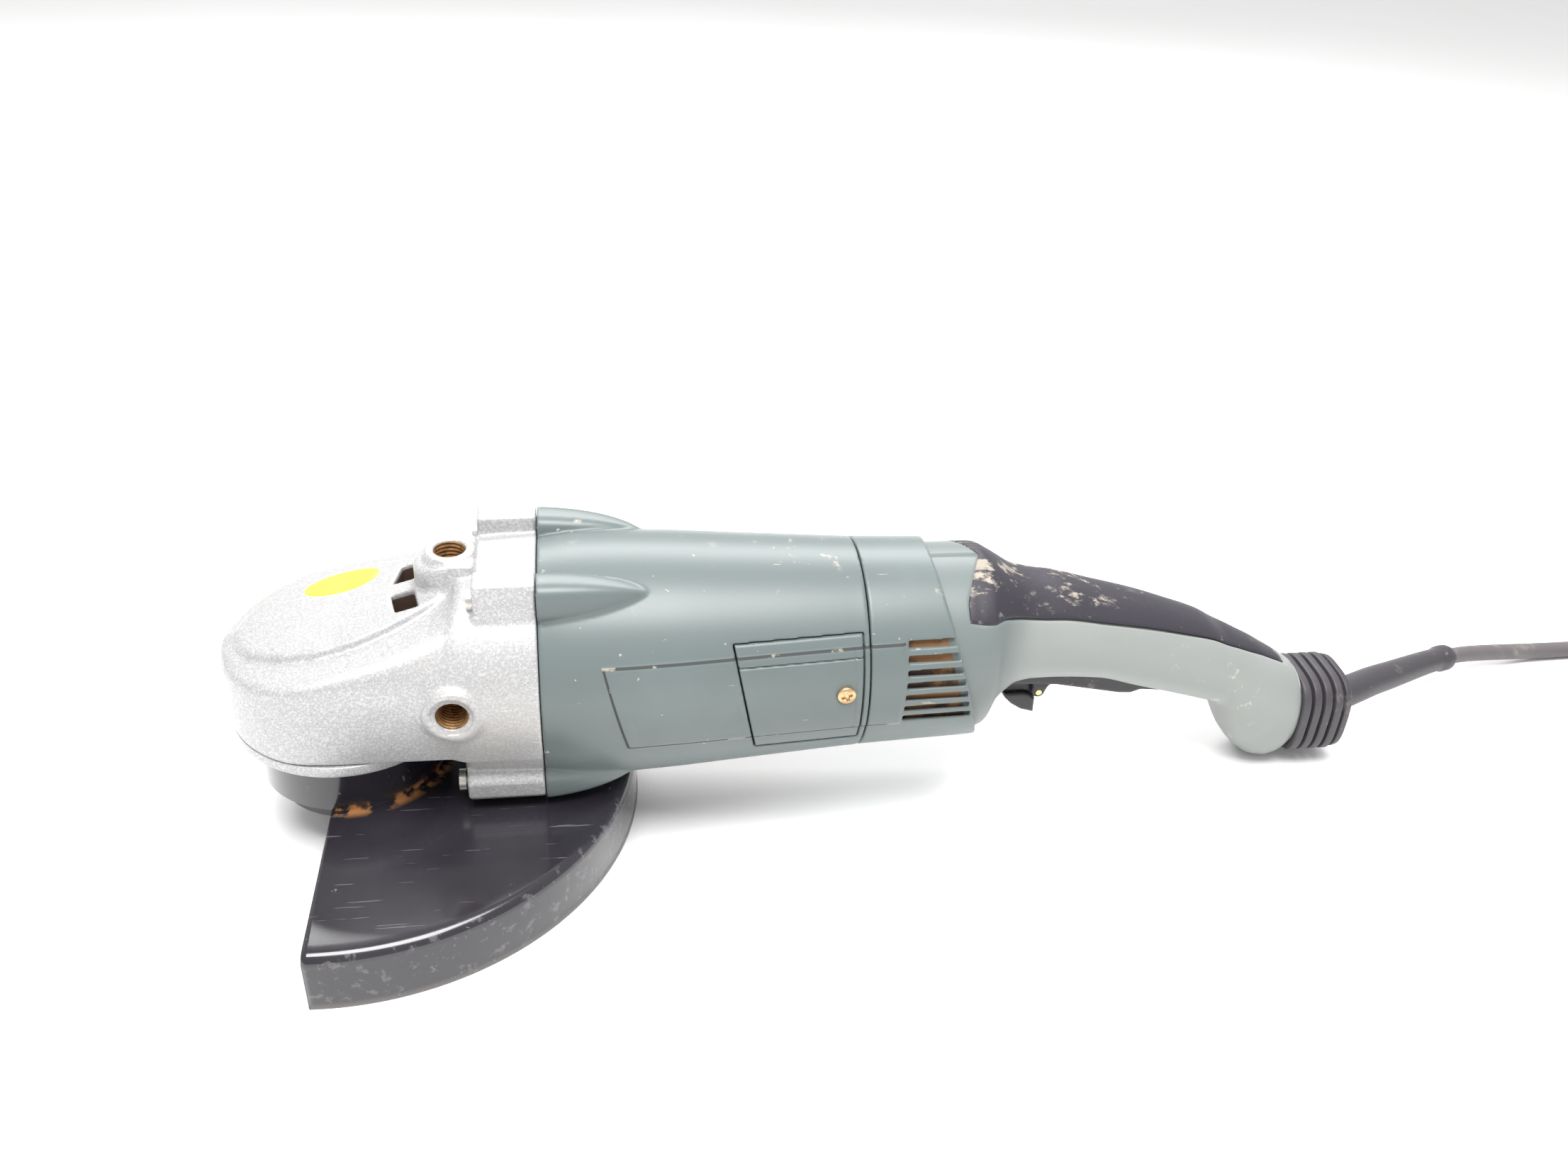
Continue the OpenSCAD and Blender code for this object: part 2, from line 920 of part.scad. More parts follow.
module rear_shroud() {
    slots = 7;
    color([0.49, 0.52, 0.52])
        difference() {
            intersection() {
                union() {
                    along_x(0)
                        rotate_extrude()
                            polygon([[46, housing_end], [housing_rear_r, housing_end], [shroud_end_r, 288],
                                [46, 291]]);
                    intersection() {
                        along_x(housing_end)
                            cylinder(r1 = housing_rear_r + 0.6, r2 = shroud_end_r + 0.4, h = 50);
                        translate([housing_end, -60, band_low])
                            cube([17, 120, band_high - band_low]);
                        difference() {
                            along_x(housing_end)
                                cylinder(r = 60, h = 60);
                            along_x(housing_end - 1)
                                cylinder(r = 46, h = 70);
                        }
                    }
                }
                side_plate([[200, 0], [shroud_edge_x + shroud_lean * shroud_edge_z, 0],
                    [shroud_edge_x + shroud_lean * (shroud_edge_z - 140), 140], [200, 140]], -80, 80);
            }
            for (i = [0:slots - 1])
                translate([249, -70, 63 + 5.9 * i])
                    cube([26 - 1.2 * i, 140, 3]);
        }
}

// Point of a handle section at angle a from +Y, drawn in by inset
function handle_point(s, inset, a) =
    let (c = (s[1] + s[2]) / 2, h = (s[2] - s[1]) / 2 - inset, w = s[3] - inset,
        e = s[0] < 290 ? 2 : 2.3, p = pow(pow(abs(cos(a)), e) + pow(abs(sin(a)), e), -1 / e))
    [s[0], w * p * cos(a), c + h * p * sin(a)];

// Grip edge angle above the side line at a station
function grip_edge(x) = x < 300 ? 42 - (x - 284) * 0.3 : 37 + (x - 300) * (x - 300) * 0.0016;

// Angle at which the left shell ends: the mid-line, or the edge of the trigger well
function shell_end(s) =
    s[0] < 302 || s[0] > 420 ? 270 : 270 - asin((trigger_half_w + 0.4) / (s[3] - 2.1 - shell_t));

// C-shaped ring of the left shell: outside with a step for the grip, then back along the inside
function shell_ring(s, last) =
    let (a1 = 180 - grip_edge(s[0]), a2 = shell_end(s), recess = s[0] < 288 || s[0] > 452 ? 0 : 2.1,
        n1 = 5, n2 = 9, n = n1 + n2 + 1)
    concat([for (k = [0:n1]) handle_point(s, recess, 90 + (a1 + 1 - 90) * k / n1)],
        [for (k = [0:n2]) handle_point(s, 0, a1 + 3 + (a2 - a1 - 3) * k / n2)],
        [for (k = [n:-1:0])
            let (a = 90 + (a2 - 90) * k / n)
            last ? [s[0], 9.5 * cos(a), 25 + 9.5 * sin(a)] : handle_point(s, 2.1 + shell_t, a)]);

module handle_shell(side) {
    m = len(sections);
    mirror([0, side, 0])
        skin([for (i = [0:m - 1]) shell_ring(sections[i], i > m - 3)], 32, true);
}

module handle_left() {
    color([0.62, 0.63, 0.62])
        handle_shell(0);
}

module handle_right() {
    color([0.62, 0.63, 0.62])
        handle_shell(1);
}

module handle_screws() {
    color([0.66, 0.6, 0.5])
        for (p = shell_screws) {
            across(p[0], -10, p[2] + 0.5, p[1], 1.95);
            across(p[0], p[2], p[2] + 2, p[1], 3.5);
        }
}

function grip_ring(s, n) =
    let (a0 = grip_edge(s[0]), span = 180 - 2 * a0)
    concat([for (k = [0:n]) handle_point(s, 0, a0 + span * k / n)],
        [for (k = [n:-1:0]) handle_point(s, 2, a0 + span * k / n)]);

module soft_grip() {
    n = 16;
    first = 3;
    last = len(sections) - 3;
    color([0.2, 0.18, 0.22])
        skin([for (i = [first:last]) grip_ring(sections[i], n)], 2 * n + 2, true);
}

module switch_body() {
    color([0.12, 0.12, 0.13])
        difference() {
            union() {
                translate([338, -13, 67])
                    cube([30, 26, 18]);
                translate([348, -4, 65])
                    cube([10, 8, 3]);
            }
            translate([340, -6, 79])
                cube([6, 12, 10]);
        }
}

module capacitor() {
    color([0.75, 0.65, 0.2])
        translate([310, 0, 89])
            rotate([0, 90, 0])
                cylinder(r = 7, h = 26);
}

module cord_clamp() {
    color([0.2, 0.2, 0.2])
        translate([428, -14, 44])
            difference() {
                cube([10, 28, 7]);
                for (y = [4, 24])
                    translate([5, y, -1])
                        cylinder(r = 1.8, h = 10);
            }
}

module trigger() {
    w = trigger_half_w;
    color([0.17, 0.16, 0.18])
        difference() {
            union() {
                side_plate([[310, 60], [309, 56], [309.5, 52], [321.5, 51.5], [334, 50.5], [367, 43.6], [373, 43.2],
                    [378, 45], [400, 42.6], [416, 39.4], [416, 42], [412, 50], [390, 54], [360, 58], [335, 61]], -w, w);
                side_plate([[322, 53], [322, 47], [329, 47], [331.5, 52]], -w, w);
                across(lever_pivot[0], -w, w, lever_pivot[1], 3.5);
            }
            // slot of the lever between the two cheeks
            translate([300, -7.2, 30])
                cube([33, 14.4, 40]);
            across(trigger_pivot[0], -30, 30, trigger_pivot[1], 2.05);
            across(lever_pivot[0], -30, 30, lever_pivot[1], 1.5);
        }
}

module trigger_pin() {
    color([0.6, 0.6, 0.6])
        across(trigger_pivot[0], -16.5, 16.5, trigger_pivot[1], 2);
}

module trigger_spring() {
    color([0.6, 0.6, 0.6])
        translate([363, 0, 58.2])
            ring(4, 2.8, 8.8);
}

module lock_lever() {
    lobe = [[308.5, 46.3], [309.3, 43.3], [313, 39.4], [318, 36], [325, 33.8], [324.7, 42.7]];
    color([0.17, 0.16, 0.18])
        difference() {
            union() {
                side_plate(concat(lobe, [[329, 44.5], [330, 48], [328, 52], [322, 57], [312, 57], [309.5, 52]]),
                    -6.8, 6.8);
                difference() {
                    side_plate(concat(lobe, [[321, 45.5], [318, 46.3]]), -10, 10);
                    across(lever_pivot[0], -30, 30, lever_pivot[1], 4.3);
                }
            }
            across(lever_pivot[0], -30, 30, lever_pivot[1], 1.5 + fit_gap);
        }
}

module lever_pin() {
    color([0.8, 0.65, 0.3])
        across(lever_pivot[0], -trigger_half_w, trigger_half_w, lever_pivot[1], 1.5);
}

// ---------- mains lead ----------

module cord_boot() {
    color([0.16, 0.15, 0.17])
        translate([461.2, 0, 25])
            rotate([0, 90, 0])
                rotate_extrude()
                    polygon([[8.5, 0], [22, 0], [22.6, 5.4], [20.6, 5.6], [20.6, 7.2], [22.8, 7.4], [22.8, 12.6],
                        [20.6, 12.8], [20.6, 14.4], [22.8, 14.6], [22.8, 19.6], [20.4, 19.8], [20.4, 21.2],
                        [22.4, 21.4], [20.6, 27.5], [8.5, 27.5]]);
}

module cable_sleeve() {
    color([0.25, 0.23, 0.25])
        sweep(sleeve_route, [8.6, 8.4, 8.2, 7.9, 7.6, 7.2, 6.9, 6.6, 6.3, 6.1], 12);
}

module cord() {
    color([0.24, 0.23, 0.25]) {
        sweep(lead_in, [cord_d / 2], 10);
        sweep(tail, [cord_d / 2], 10);
    }
}

module cord_coil() {
    color([0.24, 0.23, 0.25])
        translate([coil_c[0], coil_c[1], floor_z])
            ring(coil_r[2] + cord_d / 2, coil_r[0] - cord_d / 2, 2 * cord_d);
}

module plug() {
    color([0.15, 0.15, 0.16])
        translate([plug_x, plug_y, plug_z])
            rotate([0, -90, 0]) {
                cylinder(r1 = 7, r2 = 10, h = 18);
                translate([0, 0, 16])
                    cylinder(r = 18, h = 24);
                for (s = [-1, 1])
                    translate([0, s * 9.5, 39])
                        cylinder(r = 2.4, h = 20);
            }
}

gear_case();
name_disc();
bearing_cover();
cover_screws();
lower_bearing_outer();
lower_bearing_balls();
lower_bearing_inner();
upper_bush();
spindle();
crown_gear();
gear_circlip();
inner_flange();
flange_nut();
lock_button();
lock_spring();
case_screws();
guard();
guard_collar();
collar_screw();
collar_nut();
motor_housing();
air_baffle();
stator_core();
stator_coils();
stator_screws();
armature_shaft();
pinion();
pinion_nut();
armature_core();
armature_windings();
commutator();
fan();
front_bearing();
rear_bearing();
bearing_retainer();
brush_holders();
carbon_brushes();
brush_springs();
brush_door_left();
brush_door_right();
door_screws();
rear_shroud();
handle_left();
handle_right();
handle_screws();
soft_grip();
switch_body();
capacitor();
cord_clamp();
trigger();
trigger_pin();
trigger_spring();
lock_lever();
lever_pin();
cord_boot();
cable_sleeve();
cord();
cord_coil();
plug();
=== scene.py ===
import bpy
import json
import math
import numpy as np
from mathutils import Matrix, Vector


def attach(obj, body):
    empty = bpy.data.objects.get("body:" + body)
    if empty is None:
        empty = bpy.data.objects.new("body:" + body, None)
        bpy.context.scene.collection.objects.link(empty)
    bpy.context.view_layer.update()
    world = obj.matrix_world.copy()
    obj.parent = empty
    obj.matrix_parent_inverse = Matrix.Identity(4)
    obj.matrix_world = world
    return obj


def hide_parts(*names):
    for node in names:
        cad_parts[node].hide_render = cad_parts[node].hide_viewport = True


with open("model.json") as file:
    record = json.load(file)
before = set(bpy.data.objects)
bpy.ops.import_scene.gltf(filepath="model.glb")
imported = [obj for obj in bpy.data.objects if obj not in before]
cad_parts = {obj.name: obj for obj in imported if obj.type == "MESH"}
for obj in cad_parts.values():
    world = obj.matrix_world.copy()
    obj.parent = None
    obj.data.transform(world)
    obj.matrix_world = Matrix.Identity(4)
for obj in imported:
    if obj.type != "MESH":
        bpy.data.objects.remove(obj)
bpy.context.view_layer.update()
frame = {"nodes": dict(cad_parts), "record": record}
MM = 0.001
SEAM_X = 88.0  # joint between the gear case and the motor housing
AXIS_Z = 76.0  # height of the motor's axis
FLOOR_Z = -3.5
HEAD_R = 51
SEAM_R = 54
SIDE_X, SIDE_Z = 51, 83  # side-handle holes
SIDE_BOSS_Y = 55
THREAD_PITCH = 1.9
LOCK_TURN, LOCK_Z = math.radians(65), 61  # spindle lock's button
NECK_R = 39.4  # bearing cover inside the guard's collar
FLAT_FRONT, FLAT_REAR = 27.6, 15  # flat underside of the case and of the housing
DOOR_FLOOR_R = 47.2
DOOR_SCREW = (221, 82)
LEVER_PIN = (325.5, 47)
GUARD_R, GUARD_TOP = 130.0, 25.0
CORD_R = 4.5


# ---------- meshes ----------

def mesh_object(name, verts, faces, material):
    me = bpy.data.meshes.new(name)
    me.from_pydata((np.asarray(verts, float) * MM).tolist(), [], [list(map(int, f)) for f in faces])
    me.update()
    ob = bpy.data.objects.new(name, me)
    bpy.context.scene.collection.objects.link(ob)
    me.polygons.foreach_set("use_smooth", [True] * len(me.polygons))
    me.materials.append(material)
    return ob


def add(name, verts, faces, material, body, nodes):
    """A visible piece that rides on a body and stands in for the nodes named."""
    ob = mesh_object(name, verts, faces, material)
    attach(ob, body)
    if nodes:
        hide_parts(*nodes)
    return ob


def band_faces(rings, n, flip=False):
    """Quads between closed rings of n points each, one ring after the other."""
    faces = [(i * n + k, i * n + (k + 1) % n, (i + 1) * n + (k + 1) % n, (i + 1) * n + k)
             for i in range(rings - 1) for k in range(n)]
    return [f[:1] + f[:0:-1] for f in faces] if flip else faces


def end_caps(rings, n):
    """Faces closing the first and last of several rings of n points."""
    return [tuple(range(n)), tuple((rings - 1) * n + n - 1 - k for k in range(n))]


def surface(field, lo, hi, step):
    """Mesh of the zero level of a distance field sampled on a grid."""
    axes = [np.arange(a - 2 * step, b + 2.5 * step, step, dtype=np.float32) for a, b in zip(lo, hi)]
    grid = np.meshgrid(*axes, indexing="ij", sparse=True)
    f = np.asarray(field(*grid), np.float32)
    f = np.broadcast_to(f, tuple(len(a) for a in axes)).copy()
    f[np.abs(f) < 1e-6] = 1e-6
    inside = f < 0
    shape = tuple(n - 1 for n in f.shape)
    count = np.zeros(shape, np.float32)
    total = np.zeros((3,) + shape, np.float32)
    crossings = []
    for axis in range(3):
        a = [slice(None)] * 3
        b = [slice(None)] * 3
        a[axis], b[axis] = slice(0, -1), slice(1, None)
        fa, fb = f[tuple(a)], f[tuple(b)]
        cross = inside[tuple(a)] != inside[tuple(b)]
        t = np.where(cross, fa / np.where(cross, fa - fb, 1), 0)
        crossings.append((cross, inside[tuple(a)]))
        o1, o2 = [(1, 2), (0, 2), (0, 1)][axis]
        for d1 in (0, 1):
            for d2 in (0, 1):
                s = [slice(None)] * 3
                s[o1] = slice(d1, d1 + f.shape[o1] - 1)
                s[o2] = slice(d2, d2 + f.shape[o2] - 1)
                c = cross[tuple(s)]
                count += c
                total[axis] += np.where(c, t[tuple(s)], 0)
                total[o1] += c * d1
                total[o2] += c * d2
    active = count > 0
    number = np.full(shape, -1, np.int64)
    number[active] = np.arange(int(active.sum()))
    cells = np.argwhere(active)
    place = cells + np.stack([total[k][active] / count[active] for k in range(3)], 1)
    verts = np.array([a[0] for a in axes]) + place * step
    quads = []
    for axis in range(3):
        cross, first = crossings[axis]
        o1, o2 = [(1, 2), (2, 0), (0, 1)][axis]
        s = [slice(None)] * 3
        s[o1] = slice(1, f.shape[o1] - 1)
        s[o2] = slice(1, f.shape[o2] - 1)
        e = np.argwhere(cross[tuple(s)])
        flip = first[tuple(s)][cross[tuple(s)]]
        e[:, o1] += 1
        e[:, o2] += 1
        corners = []
        for d1, d2 in ((-1, -1), (0, -1), (0, 0), (-1, 0)):
            c = e.copy()
            c[:, o1] += d1
            c[:, o2] += d2
            corners.append(number[c[:, 0], c[:, 1], c[:, 2]])
        q = np.stack(corners, 1)
        q[~flip] = q[~flip][:, ::-1]
        quads.append(q)
    return verts, np.concatenate(quads)


def smin(a, b, k):
    h = np.maximum(k - np.abs(a - b), 0) / k
    return np.minimum(a, b) - h * h * k / 4


def smax(a, b, k):
    return -smin(-a, -b, k)


def box_field(x, y, z, centre, half, r=0.5):
    dx = np.abs(x - centre[0]) - (half[0] - r)
    dy = np.abs(y - centre[1]) - (half[1] - r)
    dz = np.abs(z - centre[2]) - (half[2] - r)
    outside = np.sqrt(np.maximum(dx, 0) ** 2 + np.maximum(dy, 0) ** 2 + np.maximum(dz, 0) ** 2)
    return outside + np.minimum(np.maximum(np.maximum(dx, dy), dz), 0) - r


def polygon_field(x, z, points):
    """Distance to a closed outline in two dimensions, negative inside."""
    best = None
    sign = np.ones(np.broadcast(x, z).shape, bool)
    pts = [np.array(p, float) for p in points]
    for i, a in enumerate(pts):
        b = pts[i - 1]
        e = b - a
        wx, wz = x - a[0], z - a[1]
        t = np.clip((wx * e[0] + wz * e[1]) / (e @ e), 0, 1)
        d = (wx - e[0] * t) ** 2 + (wz - e[1] * t) ** 2
        best = d if best is None else np.minimum(best, d)
        c1, c2, c3 = z >= a[1], z < b[1], e[0] * wz > e[1] * wx
        change = (c1 & c2 & c3) | (~c1 & ~c2 & ~c3)
        sign = sign ^ change
    return np.where(sign, 1, -1) * np.sqrt(best)


def lathe(profile, n, centre=(0, 0, 0), axis="z"):
    """Rings of n points round an axis through centre; profile is (radius, along) pairs in order."""
    angles = np.radians(np.linspace(0, 360, n, endpoint=False))
    verts = []
    for r, h in profile:
        c, s = r * np.cos(angles), r * np.sin(angles)
        hh = np.full_like(c, h)
        verts.append(np.stack((c, s, hh) if axis == "z" else (hh, c, s), 1))
    return np.concatenate(verts) + np.array(centre, float), band_faces(len(profile), n)


def rounded(points, r, n=4):
    """A polyline whose inner corners are rounded to about r."""
    pts = [np.array(p, float) for p in points]
    out = [pts[0]]
    for a, b, c in zip(pts, pts[1:], pts[2:]):
        u, v = a - b, c - b
        lu, lv = np.linalg.norm(u), np.linalg.norm(v)
        d = min(r, lu * 0.45, lv * 0.45)
        p, q = b + u / lu * d, b + v / lv * d
        for t in np.linspace(0, 1, n + 1):
            out.append((1 - t) ** 2 * p + 2 * t * (1 - t) * b + t * t * q)
    out.append(pts[-1])
    return out


def smooth_path(points, step):
    """Catmull-Rom curve through the points, resampled at about step."""
    p = np.array(points, float)
    p = np.vstack([2 * p[0] - p[1], p, 2 * p[-1] - p[-2]])
    out = []
    for i in range(1, len(p) - 2):
        n = max(2, int(np.linalg.norm(p[i + 1] - p[i]) / step))
        for t in np.arange(n) / n:
            out.append(0.5 * (2 * p[i] + (p[i + 1] - p[i - 1]) * t
                              + (2 * p[i - 1] - 5 * p[i] + 4 * p[i + 1] - p[i + 2]) * t * t
                              + (3 * p[i] - p[i - 1] - 3 * p[i + 1] + p[i + 2]) * t ** 3))
    out.append(p[-2])
    return np.array(out)


def tube(path, radii, n=16):
    """A closed round tube along a path; the frame turns as little as possible."""
    path = np.asarray(path, float)
    radii = np.broadcast_to(np.asarray(radii, float), (len(path),))
    tangents = np.gradient(path, axis=0)
    tangents /= np.linalg.norm(tangents, axis=1)[:, None]
    side = np.cross(tangents[0], (0, 0, 1.0))
    side /= np.linalg.norm(side)
    verts = []
    angles = 2 * math.pi * np.arange(n) / n
    for p, t, r in zip(path, tangents, radii):
        side = side - t * (side @ t)
        side /= np.linalg.norm(side)
        up = np.cross(side, t)
        verts.append(p + r * (np.cos(angles)[:, None] * side + np.sin(angles)[:, None] * up))
    verts = np.concatenate(verts)
    return verts, band_faces(len(path), n, True) + end_caps(len(path), n)


# ---------- materials ----------

class Surface:
    """A procedural surface in the piece's own coordinates, built up in layers of colour."""

    def __init__(self, name, colour, rough, metal=0.0, coat=0.0):
        self.m = bpy.data.materials.new(name)
        self.m.use_nodes = True
        self.nodes, self.links = self.m.node_tree.nodes, self.m.node_tree.links
        self.bsdf = self.nodes["Principled BSDF"]
        self.bsdf.inputs["Metallic"].default_value = metal
        self.bsdf.inputs["Roughness"].default_value = rough
        self.bsdf.inputs["Coat Weight"].default_value = coat
        self.bsdf.inputs["Coat Roughness"].default_value = 0.12
        self.where = self.nodes.new("ShaderNodeTexCoord").outputs["Object"]
        rgb = self.nodes.new("ShaderNodeRGB")
        rgb.outputs[0].default_value = (*colour, 1)
        self.colour = rgb.outputs[0]
        value = self.nodes.new("ShaderNodeValue")
        value.outputs[0].default_value = rough
        self.rough = value.outputs[0]
        self.height = None

    def math(self, op, a, b=0.0, clamp=False):
        n = self.nodes.new("ShaderNodeMath")
        n.operation, n.use_clamp = op, clamp
        for i, v in enumerate((a, b)):
            if hasattr(v, "links"):
                self.links.new(v, n.inputs[i])
            else:
                n.inputs[i].default_value = v
        return n.outputs[0]

    def noise(self, scale, detail=4.0, stretch=(1, 1, 1), turn=(0, 0, 0), offset=0.0, rough=0.55):
        m = self.nodes.new("ShaderNodeMapping")
        m.inputs["Scale"].default_value = stretch
        m.inputs["Rotation"].default_value = turn
        m.inputs["Location"].default_value = (offset, offset * 0.7, offset * 1.3)
        self.links.new(self.where, m.inputs["Vector"])
        n = self.nodes.new("ShaderNodeTexNoise")
        n.inputs["Scale"].default_value = scale
        n.inputs["Detail"].default_value = detail
        n.inputs["Roughness"].default_value = rough
        self.links.new(m.outputs["Vector"], n.inputs["Vector"])
        return n.outputs["Fac"]

    def axis(self, which):
        n = self.nodes.new("ShaderNodeSeparateXYZ")
        self.links.new(self.where, n.inputs[0])
        return n.outputs[which]

    def facing_up(self):
        g = self.nodes.new("ShaderNodeTexCoord")
        n = self.nodes.new("ShaderNodeSeparateXYZ")
        self.links.new(g.outputs["Normal"], n.inputs[0])
        return n.outputs["Z"]

    def ramp(self, value, low, high):
        """0 below low, 1 above high."""
        n = self.nodes.new("ShaderNodeMapRange")
        n.interpolation_type = "SMOOTHSTEP"
        n.inputs["From Min"].default_value = low
        n.inputs["From Max"].default_value = high
        self.links.new(value, n.inputs["Value"])
        return n.outputs["Result"]

    def below(self, value, low, high):
        """1 below low, 0 above high."""
        return self.math("SUBTRACT", 1.0, self.ramp(value, low, high))

    def layer(self, mask, colour, rough, share=1.0):
        """Lay a colour and a roughness over what is there, as far as the mask lets them."""
        mask = self.math("MULTIPLY", mask, share, True)
        n = self.nodes.new("ShaderNodeMix")
        n.data_type = "RGBA"
        self.links.new(mask, n.inputs["Factor"])
        self.links.new(self.colour, n.inputs["A"])
        n.inputs["B"].default_value = (*colour, 1)
        self.colour = n.outputs["Result"]
        r = self.nodes.new("ShaderNodeMix")
        r.data_type = "FLOAT"
        self.links.new(mask, r.inputs["Factor"])
        self.links.new(self.rough, r.inputs["A"])
        r.inputs["B"].default_value = rough
        self.rough = r.outputs["Result"]

    def bump(self, value, strength, distance=0.0003):
        n = self.nodes.new("ShaderNodeBump")
        n.inputs["Strength"].default_value = strength
        n.inputs["Distance"].default_value = distance
        self.links.new(value, n.inputs["Height"])
        if self.height is not None:
            self.links.new(self.height, n.inputs["Normal"])
        self.height = n.outputs["Normal"]

    def done(self):
        self.links.new(self.colour, self.bsdf.inputs["Base Color"])
        self.links.new(self.rough, self.bsdf.inputs["Roughness"])
        if self.height is not None:
            self.links.new(self.height, self.bsdf.inputs["Normal"])
        return self.m


def cast_paint():
    s = Surface("cast_paint", (0.40, 0.40, 0.405), 0.40, metal=0.30)
    s.layer(s.ramp(s.noise(900, 2), 0.45, 0.62), (0.56, 0.56, 0.565), 0.36, 0.7)
    s.layer(s.ramp(s.noise(2200, 1, offset=3), 0.56, 0.68), (0.24, 0.235, 0.235), 0.5, 0.7)
    s.layer(s.ramp(s.noise(14, 5, offset=7), 0.48, 0.72), (0.40, 0.375, 0.345), 0.5, 0.45)
    s.layer(s.ramp(s.noise(70, 6, offset=11), 0.68, 0.76), (0.22, 0.18, 0.14), 0.7, 0.55)
    scratch = s.ramp(s.noise(60, 3, stretch=(1, 9, 14), turn=(0.2, 0.5, 0.7)), 0.70, 0.74)
    s.layer(scratch, (0.80, 0.80, 0.81), 0.3, 0.5)
    # painted shade deep down inside the two vents, in a near-black rust-brown
    x, y, z = s.axis("X"), s.axis("Y"), s.axis("Z")
    deep = s.math("SUBTRACT", s.math("MULTIPLY", x, 0.296), z)
    inside = s.math("MULTIPLY", s.ramp(deep, -0.1040, -0.1033), s.ramp(x, 0.0215, 0.0220))
    inside = s.math("MULTIPLY", inside, s.below(s.math("ABSOLUTE", y), 0.0198, 0.0203))
    inside = s.math("MULTIPLY", inside, s.below(x, 0.0405, 0.0410))
    s.layer(s.math("MULTIPLY", inside, s.ramp(z, 0.0985, 0.0995)), (0.075, 0.040, 0.022), 0.85, 0.97)
    s.bump(s.noise(700, 3), 0.5, 0.0002)
    s.bump(s.noise(120, 3, offset=4), 0.25, 0.0006)
    return s.done()


def slate():
    base = (0.115, 0.140, 0.138)
    s = Surface("slate", base, 0.36)
    s.layer(s.ramp(s.noise(12, 4), 0.42, 0.72), tuple(c * 1.22 for c in base), 0.42, 0.7)
    up = s.ramp(s.facing_up(), 0.72, 0.98)
    flecks = s.ramp(s.noise(75, 8, rough=0.7, offset=2), 0.57, 0.63)
    patch = s.ramp(s.noise(16, 3, offset=9), 0.46, 0.60)
    s.layer(s.math("MULTIPLY", s.math("MULTIPLY", up, flecks), patch), (0.60, 0.53, 0.42), 0.8, 0.85)
    thin = s.ramp(s.noise(42, 4, stretch=(1, 7, 10), turn=(0.1, 0.9, 0.3), offset=5), 0.73, 0.76)
    s.layer(thin, (0.50, 0.48, 0.42), 0.7, 0.7)
    specks = s.ramp(s.noise(240, 3, offset=12), 0.72, 0.76)
    s.layer(specks, (0.52, 0.48, 0.40), 0.7, 0.7)
    # outline of the raised side panel darkened with painted shade along its step, with dust caught in it
    x, z = s.axis("X"), s.axis("Z")

    def line(value, half):
        return s.below(s.math("ABSOLUTE", value), half, half * 1.8)

    low, high = s.ramp(z, 0.0612, 0.0614), s.below(z, 0.1017, 0.1019)
    slant = s.math("SUBTRACT", x, s.math("SUBTRACT", 0.140375, s.math("MULTIPLY", z, 0.25)))
    reach = s.math("MULTIPLY", s.ramp(slant, -0.0006, -0.0004), s.below(x, 0.2478, 0.2482))
    sides = s.math("MULTIPLY", line(slant, 0.00042), s.math("MULTIPLY", low, high))
    upper, lower = [line(s.math("SUBTRACT", z, height), 0.00038) for height in (0.1015, 0.0615)]
    levels = s.math("ADD", upper, lower)
    outline_shade = s.math("ADD", sides, s.math("MULTIPLY", levels, reach), True)
    # near-black painted shade along the panel's edges
    s.layer(outline_shade, (0.030, 0.032, 0.030), 0.8, 0.9)
    dust = s.math("MULTIPLY", outline_shade, s.ramp(s.noise(90, 4, offset=31), 0.58, 0.64))
    s.layer(dust, (0.46, 0.41, 0.33), 0.8, 0.6)
    s.bump(outline_shade, -0.5, 0.0004)
    s.bump(s.noise(1500, 2), 0.12, 0.0001)
    s.bump(s.noise(26, 4, offset=1), 0.10, 0.0008)
    return s.done()


def handle_grey():
    s = Surface("handle_grey", (0.245, 0.260, 0.250), 0.44)
    s.layer(s.ramp(s.noise(14, 4), 0.40, 0.72), (0.285, 0.298, 0.285), 0.5, 0.7)
    dirt = s.ramp(s.noise(110, 7, rough=0.7, offset=6), 0.60, 0.66)
    near = s.ramp(s.noise(13, 3, offset=8), 0.52, 0.66)
    s.layer(s.math("MULTIPLY", dirt, near), (0.55, 0.48, 0.37), 0.8, 0.7)
    x = s.axis("X")
    s.layer(s.below(x, 0.294, 0.316), (0.125, 0.150, 0.146), 0.40, 0.9)
    # painted shade in a dark brown on the part under the slotted shroud, with real rust spots over it
    under_shroud_shade = s.below(s.math("ADD", x, s.math("MULTIPLY", s.axis("Z"), 0.28)), 0.2952, 0.2964)
    s.layer(under_shroud_shade, (0.055, 0.032, 0.020), 0.9, 0.97)
    rust = s.math("MULTIPLY", under_shroud_shade, s.ramp(s.noise(60, 5, offset=23), 0.45, 0.58))
    s.layer(rust, (0.26, 0.13, 0.055), 0.9, 0.9)
    s.bump(s.noise(1300, 2), 0.18, 0.0001)
    return s.done()


def grip_rubber():
    s = Surface("grip_rubber", (0.022, 0.019, 0.028), 0.55)
    up = s.ramp(s.facing_up(), 0.35, 0.9)
    caked = s.ramp(s.noise(95, 9, stretch=(0.5, 1, 1), rough=0.74, offset=2), 0.53, 0.61)
    zone = s.ramp(s.noise(14, 4, stretch=(0.6, 1.4, 1), offset=14), 0.42, 0.60)
    s.layer(s.math("MULTIPLY", s.math("MULTIPLY", caked, up), zone), (0.44, 0.39, 0.32), 0.9, 0.8)
    s.layer(s.ramp(s.noise(190, 5, offset=3), 0.62, 0.70), (0.20, 0.18, 0.18), 0.8, 0.6)
    s.bump(s.noise(900, 2), 0.3, 0.0002)
    s.bump(s.noise(60, 5, offset=5), 0.3, 0.0004)
    return s.done()


